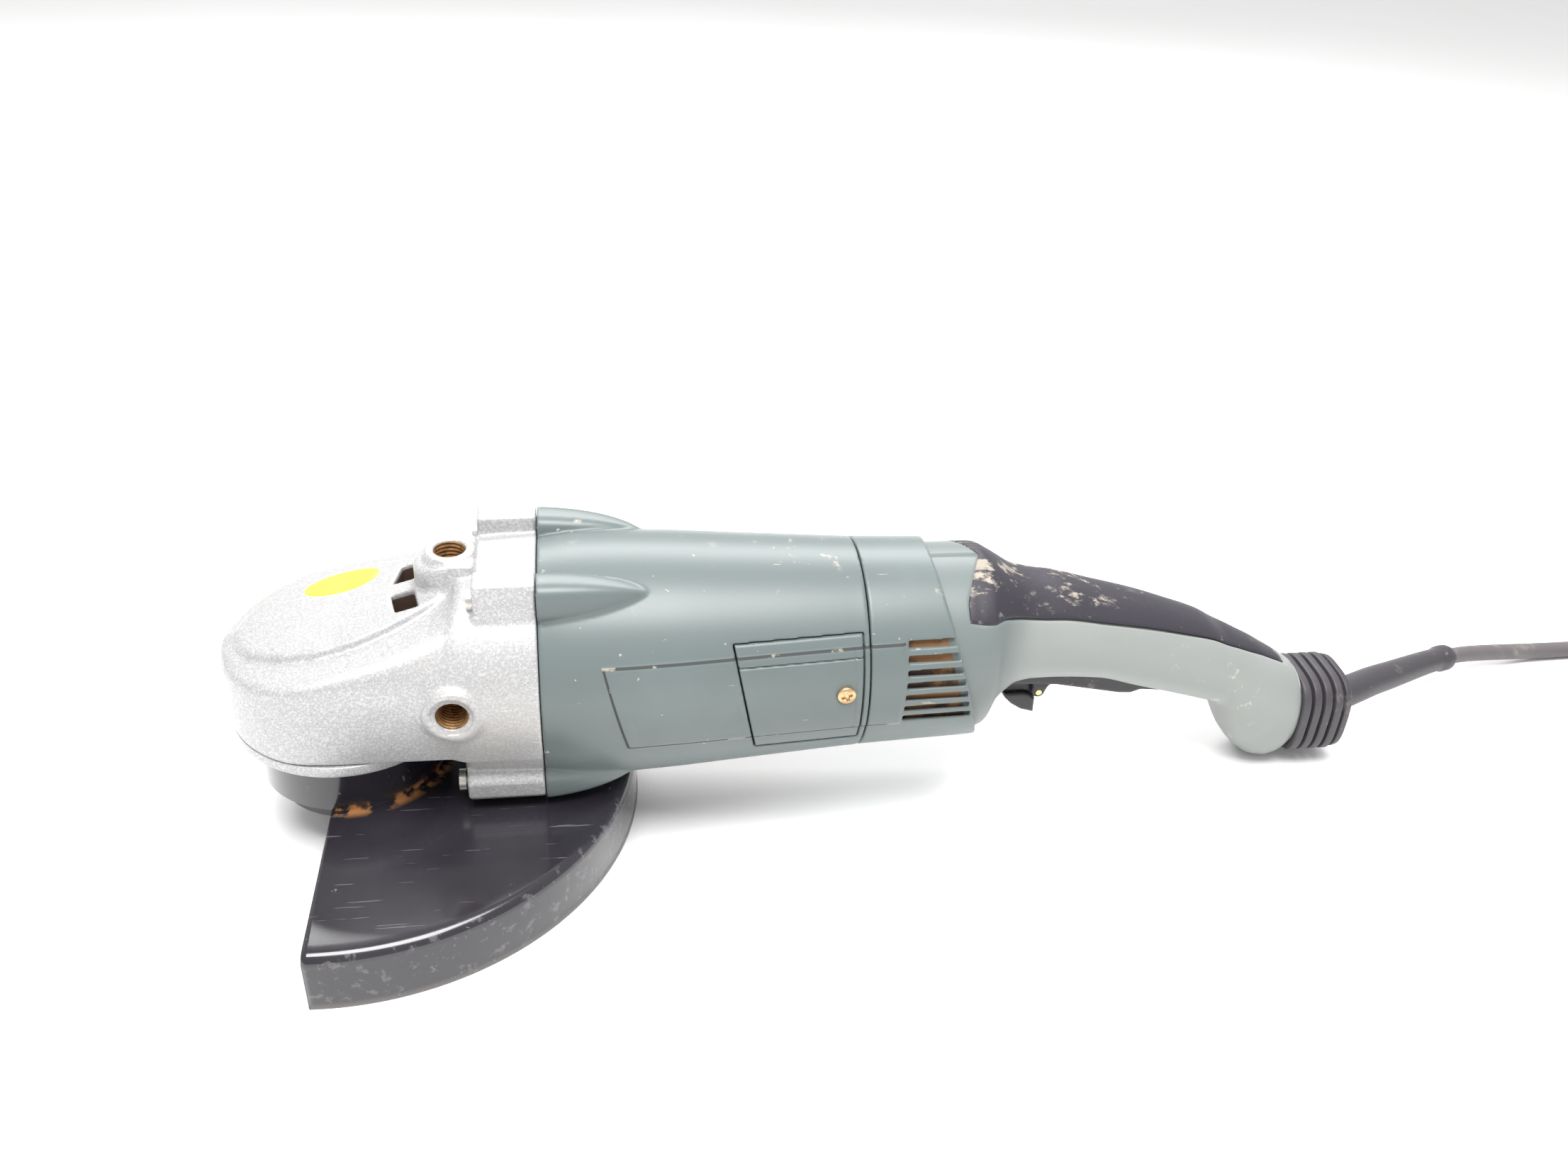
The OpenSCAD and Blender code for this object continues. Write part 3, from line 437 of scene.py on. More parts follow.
def guard_enamel():
    s = Surface("guard_enamel", (0.012, 0.010, 0.014), 0.17, coat=0.6)
    s.layer(s.ramp(s.noise(9, 5), 0.45, 0.7), (0.024, 0.021, 0.028), 0.30, 0.8)
    for i, turn in enumerate(((0, 0, 0.5), (0, 0, 1.3), (0, 0, 2.3))):
        line = s.ramp(s.noise(22, 3, stretch=(1, 30, 8), turn=turn, offset=3 + 5 * i), 0.700, 0.715)
        s.layer(line, (0.22, 0.22, 0.25), 0.5, 0.38)
    chips = s.ramp(s.noise(85, 6, offset=21, rough=0.6), 0.70, 0.725)
    s.layer(chips, (0.34, 0.26, 0.20), 0.7, 0.85)
    x, y, z = s.axis("X"), s.axis("Y"), s.axis("Z")
    r = s.math("SQRT", s.math("ADD", s.math("MULTIPLY", x, x), s.math("MULTIPLY", y, y)))
    # bare rusty metal along the foot of the collar
    ring = s.math("MULTIPLY", s.ramp(r, 0.0400, 0.0415), s.below(r, 0.0435, 0.0490))
    foot = s.math("MULTIPLY", ring, s.below(z, 0.0262, 0.0290))
    foot = s.math("MULTIPLY", foot, s.ramp(s.math("SUBTRACT", x, y), 0.022, 0.040))
    rust = s.math("MULTIPLY", foot, s.ramp(s.noise(95, 6, offset=17), 0.44, 0.54))
    s.layer(rust, (0.46, 0.20, 0.06), 0.85, 0.95)
    # scuffed corner and dusty foot of the skirt
    scuffs = s.ramp(s.noise(170, 6, offset=8, rough=0.65), 0.55, 0.63)
    rim = s.math("MULTIPLY", s.ramp(r, 0.1255, 0.1290), scuffs)
    s.layer(rim, (0.15, 0.14, 0.155), 0.55, 0.45)
    s.layer(s.below(z, -0.0030, 0.0005), (0.17, 0.155, 0.15), 0.7, 0.6)
    s.bump(s.noise(40, 5), 0.12, 0.0008)
    s.bump(chips, -0.4, 0.0003)
    return s.done()


def black_part(name, base=(0.020, 0.019, 0.022), rough=0.45, dust=0.5):
    s = Surface(name, base, rough)
    s.layer(s.ramp(s.noise(70, 6, rough=0.7, offset=4), 0.58, 0.70), (0.22, 0.20, 0.18), 0.8, dust)
    s.layer(s.ramp(s.noise(300, 3, offset=9), 0.66, 0.74), (0.30, 0.27, 0.23), 0.8, dust)
    s.bump(s.noise(900, 2), 0.2, 0.0002)
    return s.done()


def steel(name, base, rough=0.35, rust=0.4):
    s = Surface(name, base, rough, metal=0.9)
    s.layer(s.ramp(s.noise(160, 5, offset=3), 0.50, 0.66), (0.30, 0.17, 0.08), 0.7, rust)
    s.layer(s.ramp(s.noise(500, 3), 0.50, 0.70), tuple(c * 0.7 for c in base), 0.5, 0.5)
    s.bump(s.noise(600, 3), 0.25, 0.0001)
    return s.done()


def badge_yellow():
    s = Surface("badge_yellow", (0.90, 0.87, 0.06), 0.32)
    s.layer(s.ramp(s.noise(60, 4), 0.5, 0.75), (0.93, 0.90, 0.18), 0.4, 0.7)
    s.layer(s.ramp(s.noise(260, 4, offset=5), 0.69, 0.75), (0.45, 0.36, 0.10), 0.6, 0.6)
    s.bump(s.noise(300, 3), 0.15, 0.0002)
    return s.done()


def brown_thread():
    s = Surface("brown_thread", (0.42, 0.24, 0.10), 0.45, metal=0.6)
    s.layer(s.ramp(s.noise(220, 5), 0.45, 0.65), (0.16, 0.08, 0.04), 0.8, 0.8)
    s.layer(s.ramp(s.noise(400, 3, offset=3), 0.55, 0.70), (0.70, 0.45, 0.22), 0.4, 0.6)
    s.bump(s.noise(500, 3), 0.4, 0.0002)
    return s.done()


def cord_grey():
    s = Surface("cord_rubber", (0.120, 0.108, 0.112), 0.55)
    s.layer(s.ramp(s.noise(45, 5), 0.45, 0.65), (0.165, 0.150, 0.152), 0.6, 0.7)
    s.layer(s.ramp(s.noise(90, 6, offset=4), 0.57, 0.70), (0.30, 0.27, 0.24), 0.75, 0.6)
    s.bump(s.noise(500, 3), 0.25, 0.0002)
    return s.done()


def floor_white():
    s = Surface("floor_white", (0.93, 0.925, 0.92), 0.6)
    s.layer(s.ramp(s.noise(3, 3), 0.4, 0.7), (0.95, 0.95, 0.95), 0.6, 0.6)
    return s.done()


CAST = cast_paint()
SLATE = slate()
GREY = handle_grey()
GRIP = grip_rubber()
ENAMEL = guard_enamel()
BLACK = black_part("black_plastic")
RUBBER = black_part("boot_rubber", (0.048, 0.043, 0.050), 0.50, 0.35)
YELLOW = badge_yellow()
THREAD = brown_thread()
CORD = cord_grey()
BRONZE = steel("bronze_screw", (0.62, 0.44, 0.24), 0.35, 0.45)
ZINC = steel("zinc_screw", (0.60, 0.58, 0.54), 0.35, 0.25)
STEEL = steel("machined_steel", (0.55, 0.55, 0.57), 0.3, 0.15)
COPPER = steel("copper", (0.62, 0.30, 0.14), 0.4, 0.1)
CORE = steel("core_steel", (0.33, 0.33, 0.35), 0.5, 0.2)
BRASS = steel("brass_pin", (0.85, 0.62, 0.28), 0.3, 0.1)

LOOK = {"cast_aluminium": CAST, "label_yellow": YELLOW, "machined_steel": STEEL, "zinc_screw": ZINC,
        "guard_black": ENAMEL, "slate_plastic": SLATE, "grey_plastic": GREY, "grip_rubber": GRIP,
        "black_plastic": BLACK, "cord_rubber": CORD, "copper": COPPER, "bronze": BRONZE, "core_steel": CORE,
        "carbon": BLACK, "foil_yellow": YELLOW}
SLOT_OF = {s["node"]: s["material_slot"] for s in frame["record"]["subparts"]}
for node_name, ob in frame["nodes"].items():
    ob.data.materials.clear()
    ob.data.materials.append(BRASS if node_name == "lever_pin" else LOOK[SLOT_OF[node_name]])


# ---------- gear case ----------

RIM = [(-44, 0), (-43, 7), (-41, 13), (-34, 22), (-19, 29.5), (-5, 32), (11.5, 31), (26, 27),
       (39, 21.5), (50, 15), (60, 15)]
RIM_LOOP = RIM + [(x, -y) for x, y in RIM[:0:-1]]


def plateau(x, y):
    """Raised sloping top of the head."""
    z = np.interp(x, [-46, -34, -19, 3, 26, 50, 60], [92.5, 96.5, 100.5, 105.8, 112.6, 119.8, 122.5])
    return z + 1.5 * (1 - (y / 32) ** 2)


def ledge(x):
    """Height of the shoulder round the raised top."""
    return np.interp(x, [-51, -41, -30, -17, 3, 17, 30, 43, 50, 62, 88],
                     [86.5, 90.5, 94, 97.5, 102.3, 105.8, 109.3, 113.3, 116.5, 124, 130])


def lock_axes(x, y):
    """Distance out along the lock button's axis, and off to its side."""
    ca, sa = math.cos(LOCK_TURN), math.sin(LOCK_TURN)
    return x * ca + y * sa, -x * sa + y * ca


def case_body(x, y, z):
    """The case's outside."""
    ay = np.abs(y)
    wall = HEAD_R + 0.034 * np.maximum(x, 0)
    plan = np.where(x < 0, np.hypot(x, y) - HEAD_R, ay - wall)
    round_top = np.hypot(y, z - AXIS_Z) - SEAM_R
    lower = smax(smax(plan, round_top, 5), z - ledge(x) + 0.15 * (ay - 34), 4)
    lower = smax(lower, 56.2 - z, 1.2)
    dome = smax(smax(polygon_field(x, y, RIM_LOOP), z - plateau(x, y), 2.5), 60 - z, 1)
    d = smin(lower, dome, 2)
    drum = smax(np.hypot(y, z - AXIS_Z) - wall, 53.5 - x, 4)
    drum = smax(drum, FLAT_FRONT - z, 1.5)
    d = smin(d, drum, 6)
    # block under the top thread
    block = smax(np.hypot(np.minimum(x - 49, 0), y) - 14, x - 62, 2)
    block = smax(block, z - np.interp(x, [35, 50], [128, 132.5]), 2)
    block = smax(block, 95 - z, 1)
    d = smin(d, block, 2.5)
    d = smin(d, smax(np.hypot(x - SIDE_X, y) - 11, np.abs(z - 114) - 20, 1.2), 1.2)
    # lock button's boss on the far side
    u, v = lock_axes(x, y)
    d = smin(d, smax(np.hypot(v, z - LOCK_Z) - 9.3, np.abs(u - 47) - 10, 1.5), 3)
    # side bosses
    d = smin(d, smax(np.hypot(x - SIDE_X, z - SIDE_Z) - 12.2, ay - SIDE_BOSS_Y, 1.6), 4)
    # seam bosses
    d = smin(d, box_field(x, ay, z, (76, 28.5, 125), (14.5, 6.8, 10.4), 1.6), 2.5)
    px, pz = np.abs(ay - 39.5), np.abs(z - 36.5)
    octagon = np.maximum(np.maximum(px, pz), (px + pz) * 0.7071) - 9
    d = smin(d, smax(octagon, 54 - x, 1.5), 2)
    return smax(d, x - (SEAM_X - 0.15), 0.8)


def case_field(x, y, z):
    ay = np.abs(y)
    d = case_body(x, y, z)
    # threaded holes, with a step at the mouth of each side hole
    top_hole = smax(np.hypot(x - SIDE_X, y) - 6.9, 110 - z, 0.5)
    side_hole = smax(np.hypot(x - SIDE_X, z - SIDE_Z) - 6.9, 31 - ay, 0.5)
    for hole in (top_hole, side_hole):
        d = smax(d, -hole, 0.8)
    d = smax(d, -smax(np.hypot(x - SIDE_X, z - SIDE_Z) - 9, SIDE_BOSS_Y - 0.8 - ay, 0.4), 0.6)
    # air outlets
    lean = x - 29.6 - (ay - 4) * 0.22
    vent = smax(smax(np.abs(lean) - 5, np.abs(ay - 11.5) - 7, 1.2), 100 - z, 1)
    d = smax(d, -vent, 1.2)
    # counterbore of the lock button
    u, v = lock_axes(x, y)
    return smax(d, -smax(np.hypot(v, z - LOCK_Z) - 7.6, 46.5 - u, 0.3), 0.6)


verts, faces = surface(case_field, (-52, -56, 27), (88, 58, 136), 0.85)
add("gear_case_cast", verts, faces, CAST, "grinder", ("gear_case",))


def badge_mesh():
    """A plain oval lying on the raised top, thin at its edge."""
    cx, cy, half_x, half_y, thick = 0.5, 19, 17, 9.6, 0.55
    shares = np.linspace(0, 1, 9)[1:]
    angles = np.radians(np.arange(0, 360, 5))
    n = len(angles)
    flat = [(cx, cy)] + [(cx + half_x * q * math.cos(a), cy + half_y * q * math.sin(a))
                         for q in shares for a in angles]
    flat = np.array(flat)
    outermost = np.arange(len(flat)) > (len(shares) - 1) * n
    height = plateau(flat[:, 0], flat[:, 1]) + thick - 0.5 * outermost
    faces = [(0, 1 + k, 1 + (k + 1) % n) for k in range(n)]
    faces += [tuple(1 + v for v in f) for f in band_faces(len(shares), n, True)]
    return np.column_stack([flat, height]), faces


verts, faces = badge_mesh()
add("badge", verts, faces, YELLOW, "grinder", ("name_disc",))


def thread_tube(centre, axis, length):
    """Inside of a threaded hole, as a helical surface."""
    per = 40
    n = int(length / 0.24)
    ang = 2 * math.pi * np.arange(per) / per
    rows = []
    for i in range(n + 1):
        h = length * i / n
        r = 6.35 + 0.55 * np.abs(((h / THREAD_PITCH + ang / (2 * math.pi)) % 1) - 0.5) * 2
        c, s = r * np.cos(ang), r * np.sin(ang)
        hh = np.full_like(c, h)
        if axis == "z":
            rows.append(np.stack([c, s, -hh], 1))
        else:
            sign = -1 if axis == "-y" else 1
            rows.append(np.stack([c, -sign * hh, s], 1))
    verts = np.concatenate(rows) + np.array(centre, float)
    bottom = tuple(n * per + k for k in range(per))
    return verts, band_faces(n + 1, per) + [bottom]


for name, centre, axis, length in (("thread_top", (SIDE_X, 0, 133.2), "z", 22),
                                   ("thread_left", (SIDE_X, -53.4, SIDE_Z), "-y", 21),
                                   ("thread_right", (SIDE_X, 53.4, SIDE_Z), "+y", 21)):
    verts, faces = thread_tube(centre, axis, length)
    add(name, verts, faces, THREAD, "grinder", ())

# cover: bright flange under the case, dark neck inside the guard's collar
profile = rounded([(39.5, 50.4), (50.2, 50.4), (50.9, 51.6), (50.9, 56.0), (46, 56.0)], 0.7)
verts, faces = lathe(profile, 128)
add("cover_flange", verts, faces, CAST, "grinder", ("bearing_cover",))
profile = rounded([(14.5, 30), (14.5, 15), (36, 15), (36, 22.8), (NECK_R, 23), (NECK_R, 50.6)], 0.9)
verts, faces = lathe(profile, 128)
add("cover_neck", verts, faces, BLACK, "grinder", ())


# ---------- motor housing ----------

STATIONS = [88, 94, 104, 125, 150, 178, 205, 232]
RADII = [54, 55.2, 56, 56, 54.8, 52.8, 51, 49.2]


def soft_interp(x, xs, ys):
    """Interpolation with rounded knees."""
    total = 0
    for d, w in ((-6, 0.15), (-3, 0.2), (0, 0.3), (3, 0.2), (6, 0.15)):
        total = total + w * np.interp(x + d, xs, ys)
    return total


def housing_radius(x):
    return soft_interp(x, STATIONS, RADII)


BAND = [(115, 101.5), (125, 61.5), (260, 61.5), (260, 101.5)]
LABEL = [(121.5, 98.5), (129.5, 64.5), (176.5, 64.5), (168, 98.5)]
DOOR = [(171, 106.5), (181.5, 53), (229, 53), (229, 106.5)]


def skin_field(x, y, z):
    r = housing_radius(x)
    d = np.hypot(y, z - AXIS_Z) - r
    band = polygon_field(x, z, BAND)
    d = d - 0.7 * np.clip(0.5 - band / 1.6, 0, 1)
    label = polygon_field(x, z, LABEL)
    return d + 0.35 * np.clip(0.5 - label / 0.9, 0, 1)


def housing_field(x, y, z):
    ay = np.abs(y)
    d = skin_field(x, y, z)
    underside = np.interp(x, [128, 140], [FLAT_FRONT, FLAT_REAR]) - z
    d = smax(d, underside, 2)
    # bullet-shaped fairings behind the seam bosses
    for y1, z1, y2, z2, r0, length in ((28.5, 125, 26.5, 123.5, 9.6, 48), (39.5, 36.5, 36.5, 38, 9.2, 42)):
        t = np.clip((x - SEAM_X) / length, 0, 1)
        r = r0 * np.maximum(1 - t ** 2.2, 0) ** 0.7 - 0.1
        cy, cz = y1 + (y2 - y1) * t, z1 + (z2 - z1) * t
        dy, dz = np.abs(ay - cy), np.abs(z - cz)
        bullet = (dy ** 3 + dz ** 3) ** (1 / 3) - r
        d = smin(d, np.maximum(bullet, x - SEAM_X - length), 1.6)
    d = smax(d, underside, 1)
    d = smax(d, (SEAM_X + 0.15) - x, 0.8)
    d = smax(d, x - 231.8, 0.8)
    # pocket of the brush doors, behind the doors themselves
    door = polygon_field(x, z, DOOR)
    pocket = smax(door - 0.25, DOOR_FLOOR_R - np.hypot(y, z - AXIS_Z), 0.3)
    pocket = np.maximum(pocket, 30 - ay)
    return smax(d, -pocket, 0.4)


verts, faces = surface(housing_field, (87.5, -58, 27), (232, 58, 136.5), 0.9)
add("housing_shell", verts, faces, SLATE, "grinder", ("motor_housing",))


def door_field(side):
    def field(x, y, z):
        d = skin_field(x, y, z)
        d = smax(d, polygon_field(x, z, DOOR) + 0.35, 0.9)
        rho = np.hypot(y, z - AXIS_Z)
        d = smax(d, DOOR_FLOOR_R + 0.1 - rho, 0.2)
        d = np.maximum(d, 30 - side * y)
        seat = smax(np.hypot(x - DOOR_SCREW[0], z - DOOR_SCREW[1]) - 4.7, 50.3 - side * y, 0.2)
        d = smax(d, -seat, 0.4)
        # a line before the rear edge and one below the upper edge
        upright = np.maximum(np.abs(x - 225.3) - 0.35, 50.0 - rho)
        level = smax(np.abs(z - 97.6) - 0.35, housing_radius(x) - 0.3 - rho, 0.1)
        return smax(smax(d, -upright, 0.3), -level, 0.3)
    return field


for side, name, node_name in ((-1, "door_near", "brush_door_left"), (1, "door_far", "brush_door_right")):
    lo = (170, -57, 52) if side < 0 else (170, 33, 52)
    hi = (230, -33, 108) if side < 0 else (230, 57, 108)
    verts, faces = surface(door_field(side), lo, hi, 0.5)
    add(name, verts, faces, SLATE, "grinder", (node_name,))


def screw_field(x, y, z):
    """Head of a cross-slotted screw."""
    head = smax(np.hypot(x, y) - 4.2, np.abs(z) - 1.5, 1.2)
    head = smax(head, np.sqrt(x * x + y * y + (z + 7) ** 2) - 8.6, 0.3)
    ax, ay = np.abs(x), np.abs(y)
    slot = np.minimum(np.maximum(ax - 0.75, ay - 2.5), np.maximum(ay - 0.75, ax - 2.5))
    return smax(head, -np.maximum(slot, 0.1 - z), 0.3)


sv, sf = surface(screw_field, (-5, -5, -2), (5, 5, 2), 0.2)
turn = math.radians(20)
sx = sv[:, 0] * math.cos(turn) - sv[:, 1] * math.sin(turn)
sy = sv[:, 0] * math.sin(turn) + sv[:, 1] * math.cos(turn)
for side, name, nodes in ((-1, "door_screw_near", ("door_screws",)), (1, "door_screw_far", ())):
    verts = np.stack([DOOR_SCREW[0] + sx, side * (51.0 + sv[:, 2]), DOOR_SCREW[1] - side * sy], 1)
    add(name, verts, sf if side < 0 else sf[:, ::-1], BRONZE, "grinder", nodes)


# ---------- rear shroud ----------

def shroud_field(x, y, z):
    rho = np.hypot(y, z - AXIS_Z)
    r = np.interp(x, [232, 284, 292], [49.2, 47.3, 46.6])
    d = rho - r
    band = polygon_field(x, z, [(200, 101.5), (200, 61.5), (247, 61.5), (247, 101.5)])
    d = d - 0.7 * np.clip(0.5 - band / 1.6, 0, 1)
    d = smax(d, 46.1 - rho, 0.4)
    d = smax(d, 232.3 - x, 0.7)
    d = smax(d, (x - (284 - 0.28 * (z - 57.5))) * 0.963, 0.9)
    for i in range(7):
        start, end = 248.6 + 0.15 * i, 280 - 1.35 * i
        slot = np.maximum(np.abs(z - (64.4 + 6.05 * i)) - 1.55,
                          np.abs(x - (start + end) / 2) - (end - start) / 2)
        slot = np.maximum(slot, 20 - np.abs(y))
        d = smax(d, -slot, 0.6)
    return d


verts, faces = surface(shroud_field, (231.5, -51, 26), (300, 51, 127), 0.7)
add("shroud_shell", verts, faces, SLATE, "grinder", ("rear_shroud",))


# ---------- handle ----------

# station, height of the underside, height of the top, half width
SECTIONS = np.array([
    [246, 30.6, 121.4, 45.4], [275, 30.8, 121.2, 45.2], [284, 31.5, 121, 44.5], [291, 34, 120.5, 42],
    [297, 45, 117.5, 36], [303, 51, 113.6, 31.5], [309, 55, 110, 28.5], [318, 56.5, 107.3, 27],
    [330, 56.3, 105.2, 26], [351, 54.9, 99, 25.5], [372, 48.8, 93, 25], [392, 43, 85.8, 24.7],
    [408, 38.2, 79.4, 24.4], [418, 35, 73.6, 24], [424, 22.8, 71, 23.5], [430, 11.5, 68, 23],
    [437, 3.5, 64.4, 22.5], [445, -2.2, 59.6, 21.8], [451, -3.4, 56, 21.2], [457, -1, 52, 20.5],
    [461, 4, 49, 19.5]], float)


def pchip(x, xs, ys):
    """Smooth interpolation that never overshoots."""
    h, d = np.diff(xs), np.diff(ys) / np.diff(xs)
    m = np.zeros(len(xs))
    for i in range(1, len(xs) - 1):
        if d[i - 1] * d[i] > 0:
            w1, w2 = 2 * h[i] + h[i - 1], h[i] + 2 * h[i - 1]
            m[i] = (w1 + w2) / (w1 / d[i - 1] + w2 / d[i])
    m[0], m[-1] = d[0], d[-1]
    i = np.clip(np.searchsorted(xs, x) - 1, 0, len(h) - 1)
    t = (x - xs[i]) / h[i]
    return ((2 * t ** 3 - 3 * t ** 2 + 1) * ys[i] + (t ** 3 - 2 * t ** 2 + t) * h[i] * m[i]
            + (3 * t ** 2 - 2 * t ** 3) * ys[i + 1] + (t ** 3 - t ** 2) * h[i] * m[i + 1])


def handle_points(x, inset, a):
    """Points of the handle's skin at stations x and angles a from +Y, drawn in by inset."""
    x, a = np.broadcast_arrays(np.asarray(x, float), np.radians(a))
    low, high, w = [pchip(x, SECTIONS[:, 0], SECTIONS[:, k]) for k in (1, 2, 3)]
    c, h, w = (low + high) / 2, (high - low) / 2 - inset, w - inset
    e = 2 + 0.3 * np.clip((x - 284) / 19, 0, 1)
    p = (np.abs(np.cos(a)) ** e + np.abs(np.sin(a)) ** e) ** (-1 / e)
    return np.stack([x, w * p * np.cos(a), c + h * p * np.sin(a)], -1)


GRIP_FRONT, GRIP_REAR = 289.2, 452.5


def grip_edge(x):
    """Angle up from +Y of the grip's lower edge."""
    return 42 - (x - 284) * 0.3 if x < 300 else 37 + (x - 300) ** 2 * 0.0016


def grip_start(a):
    """Station where the grip begins: its front edge leans forward down the sides."""
    return GRIP_FRONT - 10.6 * np.clip(43 * np.abs(np.cos(np.radians(a))) / 26, 0, 1)


def shell_rings(side):
    """Sections of one handle half: outside from the top round to the trigger's well, then inside back."""
    xs = np.concatenate([np.linspace(246, 272, 10)[:-1], np.linspace(272, 461, 170)])
    rings = []
    for x in xs:
        low, high, w = [float(pchip(np.array([x]), SECTIONS[:, 0], SECTIONS[:, k])[0]) for k in (1, 2, 3)]
        a1 = 180 - grip_edge(x)
        well = min(1, max(0, (x - 301) / 3)) * min(1, max(0, (421 - x) / 2))
        edge = math.degrees(math.asin(min(0.9, 11.7 / (w - 3.4))))
        a2 = 270 - edge * well - 0.25
        t = np.linspace(90.2, a1 + 0.4, 16)
        recess = 1.6 * np.clip((x - grip_start(t) - 0.4) / 1.5, 0, 1) * min(1, max(0, (455 - x) / 3))
        top = handle_points(x, recess, t)
        rest = handle_points(x, 0, np.linspace(a1 + 1.4, a2, 44))
        inner = handle_points(x, 3.4, np.linspace(a2 + 0.1, 90.2, 24))
        rings.append(np.concatenate([top, rest, inner]))
    rings = np.array(rings)
    if side > 0:
        rings[:, :, 1] *= -1
    return rings


def ring_faces(m, n, flip=False):
    """Faces of m C-shaped sections of n points, with both ends closed across the C."""
    faces = band_faces(m, n)
    last = (m - 1) * n
    for k in range(n // 2 - 1):
        faces.append((n - 1 - k, n - 2 - k, k + 1, k))
        faces.append((last + k, last + k + 1, last + n - 2 - k, last + n - 1 - k))
    return [f[::-1] for f in faces] if flip else faces


for side, name, node_name in ((-1, "shell_near", "handle_left"), (1, "shell_far", "handle_right")):
    rings = shell_rings(side)
    m, n, _ = rings.shape
    faces = ring_faces(m, n, side < 0)
    add(name, rings.reshape(-1, 3), faces, GREY, "grinder", (node_name,))

rings = []
for q in np.linspace(0, 1, 160):
    edge = grip_edge(GRIP_FRONT + (GRIP_REAR - GRIP_FRONT) * q) + 0.8
    t = np.linspace(edge, 180 - edge, 49)
    x = grip_start(t) + (GRIP_REAR - grip_start(t)) * q
    swell = 0.25 * np.minimum(1, np.minimum(t - t[0], t[-1] - t) / 3) * min(1, q * 80, (1 - q) * 80)
    rings.append(np.concatenate([handle_points(x, -swell, t), handle_points(x[::-1], 2.6, t[::-1])]))
rings = np.array(rings)
m, n, _ = rings.shape
add("grip_skin", rings.reshape(-1, 3), ring_faces(m, n), GRIP, "grinder", ("soft_grip",))


# ---------- trigger and lever ----------

TRIGGER = [(310, 60), (309, 56), (309.5, 52), (321.5, 51.5), (334, 50.5), (367, 43.6), (373, 43.2), (378, 45),
           (400, 42.6), (416, 39.4), (416, 42), (412, 50), (390, 54), (360, 58), (335, 61)]
LOBE = [(308.5, 46.3), (309.3, 43.3), (313, 39.4), (318, 36), (325, 33.8), (324.7, 42.7)]


def trigger_field(x, y, z):
    ay = np.abs(y)
    side = polygon_field(x, z, TRIGGER)
    side = smin(side, polygon_field(x, z, [(322, 53), (322, 47), (329, 47), (331.5, 52)]), 1)
    pin = np.hypot(x - LEVER_PIN[0], z - LEVER_PIN[1])
    side = smin(side, pin - 3.5, 1)
    d = smax(side, ay - 11, 2.4)
    d = smax(d, -np.maximum(ay - 7.2, x - 333), 0.6)
    return smax(d, 1.5 - pin, 0.3)


def lever_field(x, y, z):
    ay = np.abs(y)
    arm = LOBE + [(329, 44.5), (330, 48), (328, 52), (322, 57), (312, 57), (309.5, 52)]
    narrow = smax(polygon_field(x, z, arm), ay - 6.8, 1)
    wide = smax(polygon_field(x, z, LOBE + [(321, 45.5), (318, 46.3)]), ay - 10, 2.2)
    wide = smax(wide, 4.3 - np.hypot(x - LEVER_PIN[0], z - LEVER_PIN[1]), 0.5)
    return smin(narrow, wide, 1.0)


verts, faces = surface(trigger_field, (308, -12, 38), (418, 12, 62), 0.5)
add("trigger_paddle", verts, faces, BLACK, "trigger", ("trigger",))
verts, faces = surface(lever_field, (306, -11, 32), (332, 11, 59), 0.4)
add("lever_lobe", verts, faces, BLACK, "lever", ("lock_lever",))


# ---------- guard ----------

def guard_mesh():
    """Section of plate and skirt, swept round half a turn and 6 mm on past the spindle's axis."""
    corner, t, r_out, top = 5.0, 2.0, GUARD_R, GUARD_TOP
    arc = [(r_out - corner + corner * math.sin(a), top - corner + corner * math.cos(a))
           for a in np.radians(np.linspace(0, 90, 9))]
    inner = [(r_out - corner + (corner - t) * math.sin(a), top - corner + (corner - t) * math.cos(a))
             for a in np.radians(np.linspace(90, 0, 9))]
    outer = [(39.6, top - 1), (39.9, top - 0.2), (40.5, top)] + [(r, top) for r in np.linspace(46, 122, 12)]
    foot = [(r_out, 0), (r_out, -1.5), (r_out + 0.5, -2.6), (r_out + 0.3, -3.3), (r_out - 0.8, -3.5),
            (r_out - 1.9, -3.2), (r_out - t, -2)]
    back = [(r, top - t) for r in np.linspace(122, 46, 12)] + [(40.5, top - t), (39.7, top - t + 0.4)]
    loop = np.array(outer + arc + foot + inner + back)
    n, steps = len(loop), 181
    turn = math.radians(-1)
    verts = []
    for i in range(steps):
        q = i / (steps - 1)
        for r, h in loop:
            limit = math.pi / 2 + math.asin(6 / r)
            a = -limit + 2 * limit * q
            x, y = r * math.cos(a), r * math.sin(a)
            verts.append((x * math.cos(turn) - y * math.sin(turn),
                          x * math.sin(turn) + y * math.cos(turn), h))
    return verts, band_faces(steps, n, True) + end_caps(steps, n)


verts, faces = guard_mesh()
add("guard_shell", verts, faces, ENAMEL, "guard", ("guard",))


# ---------- boot, sleeve, cord ----------

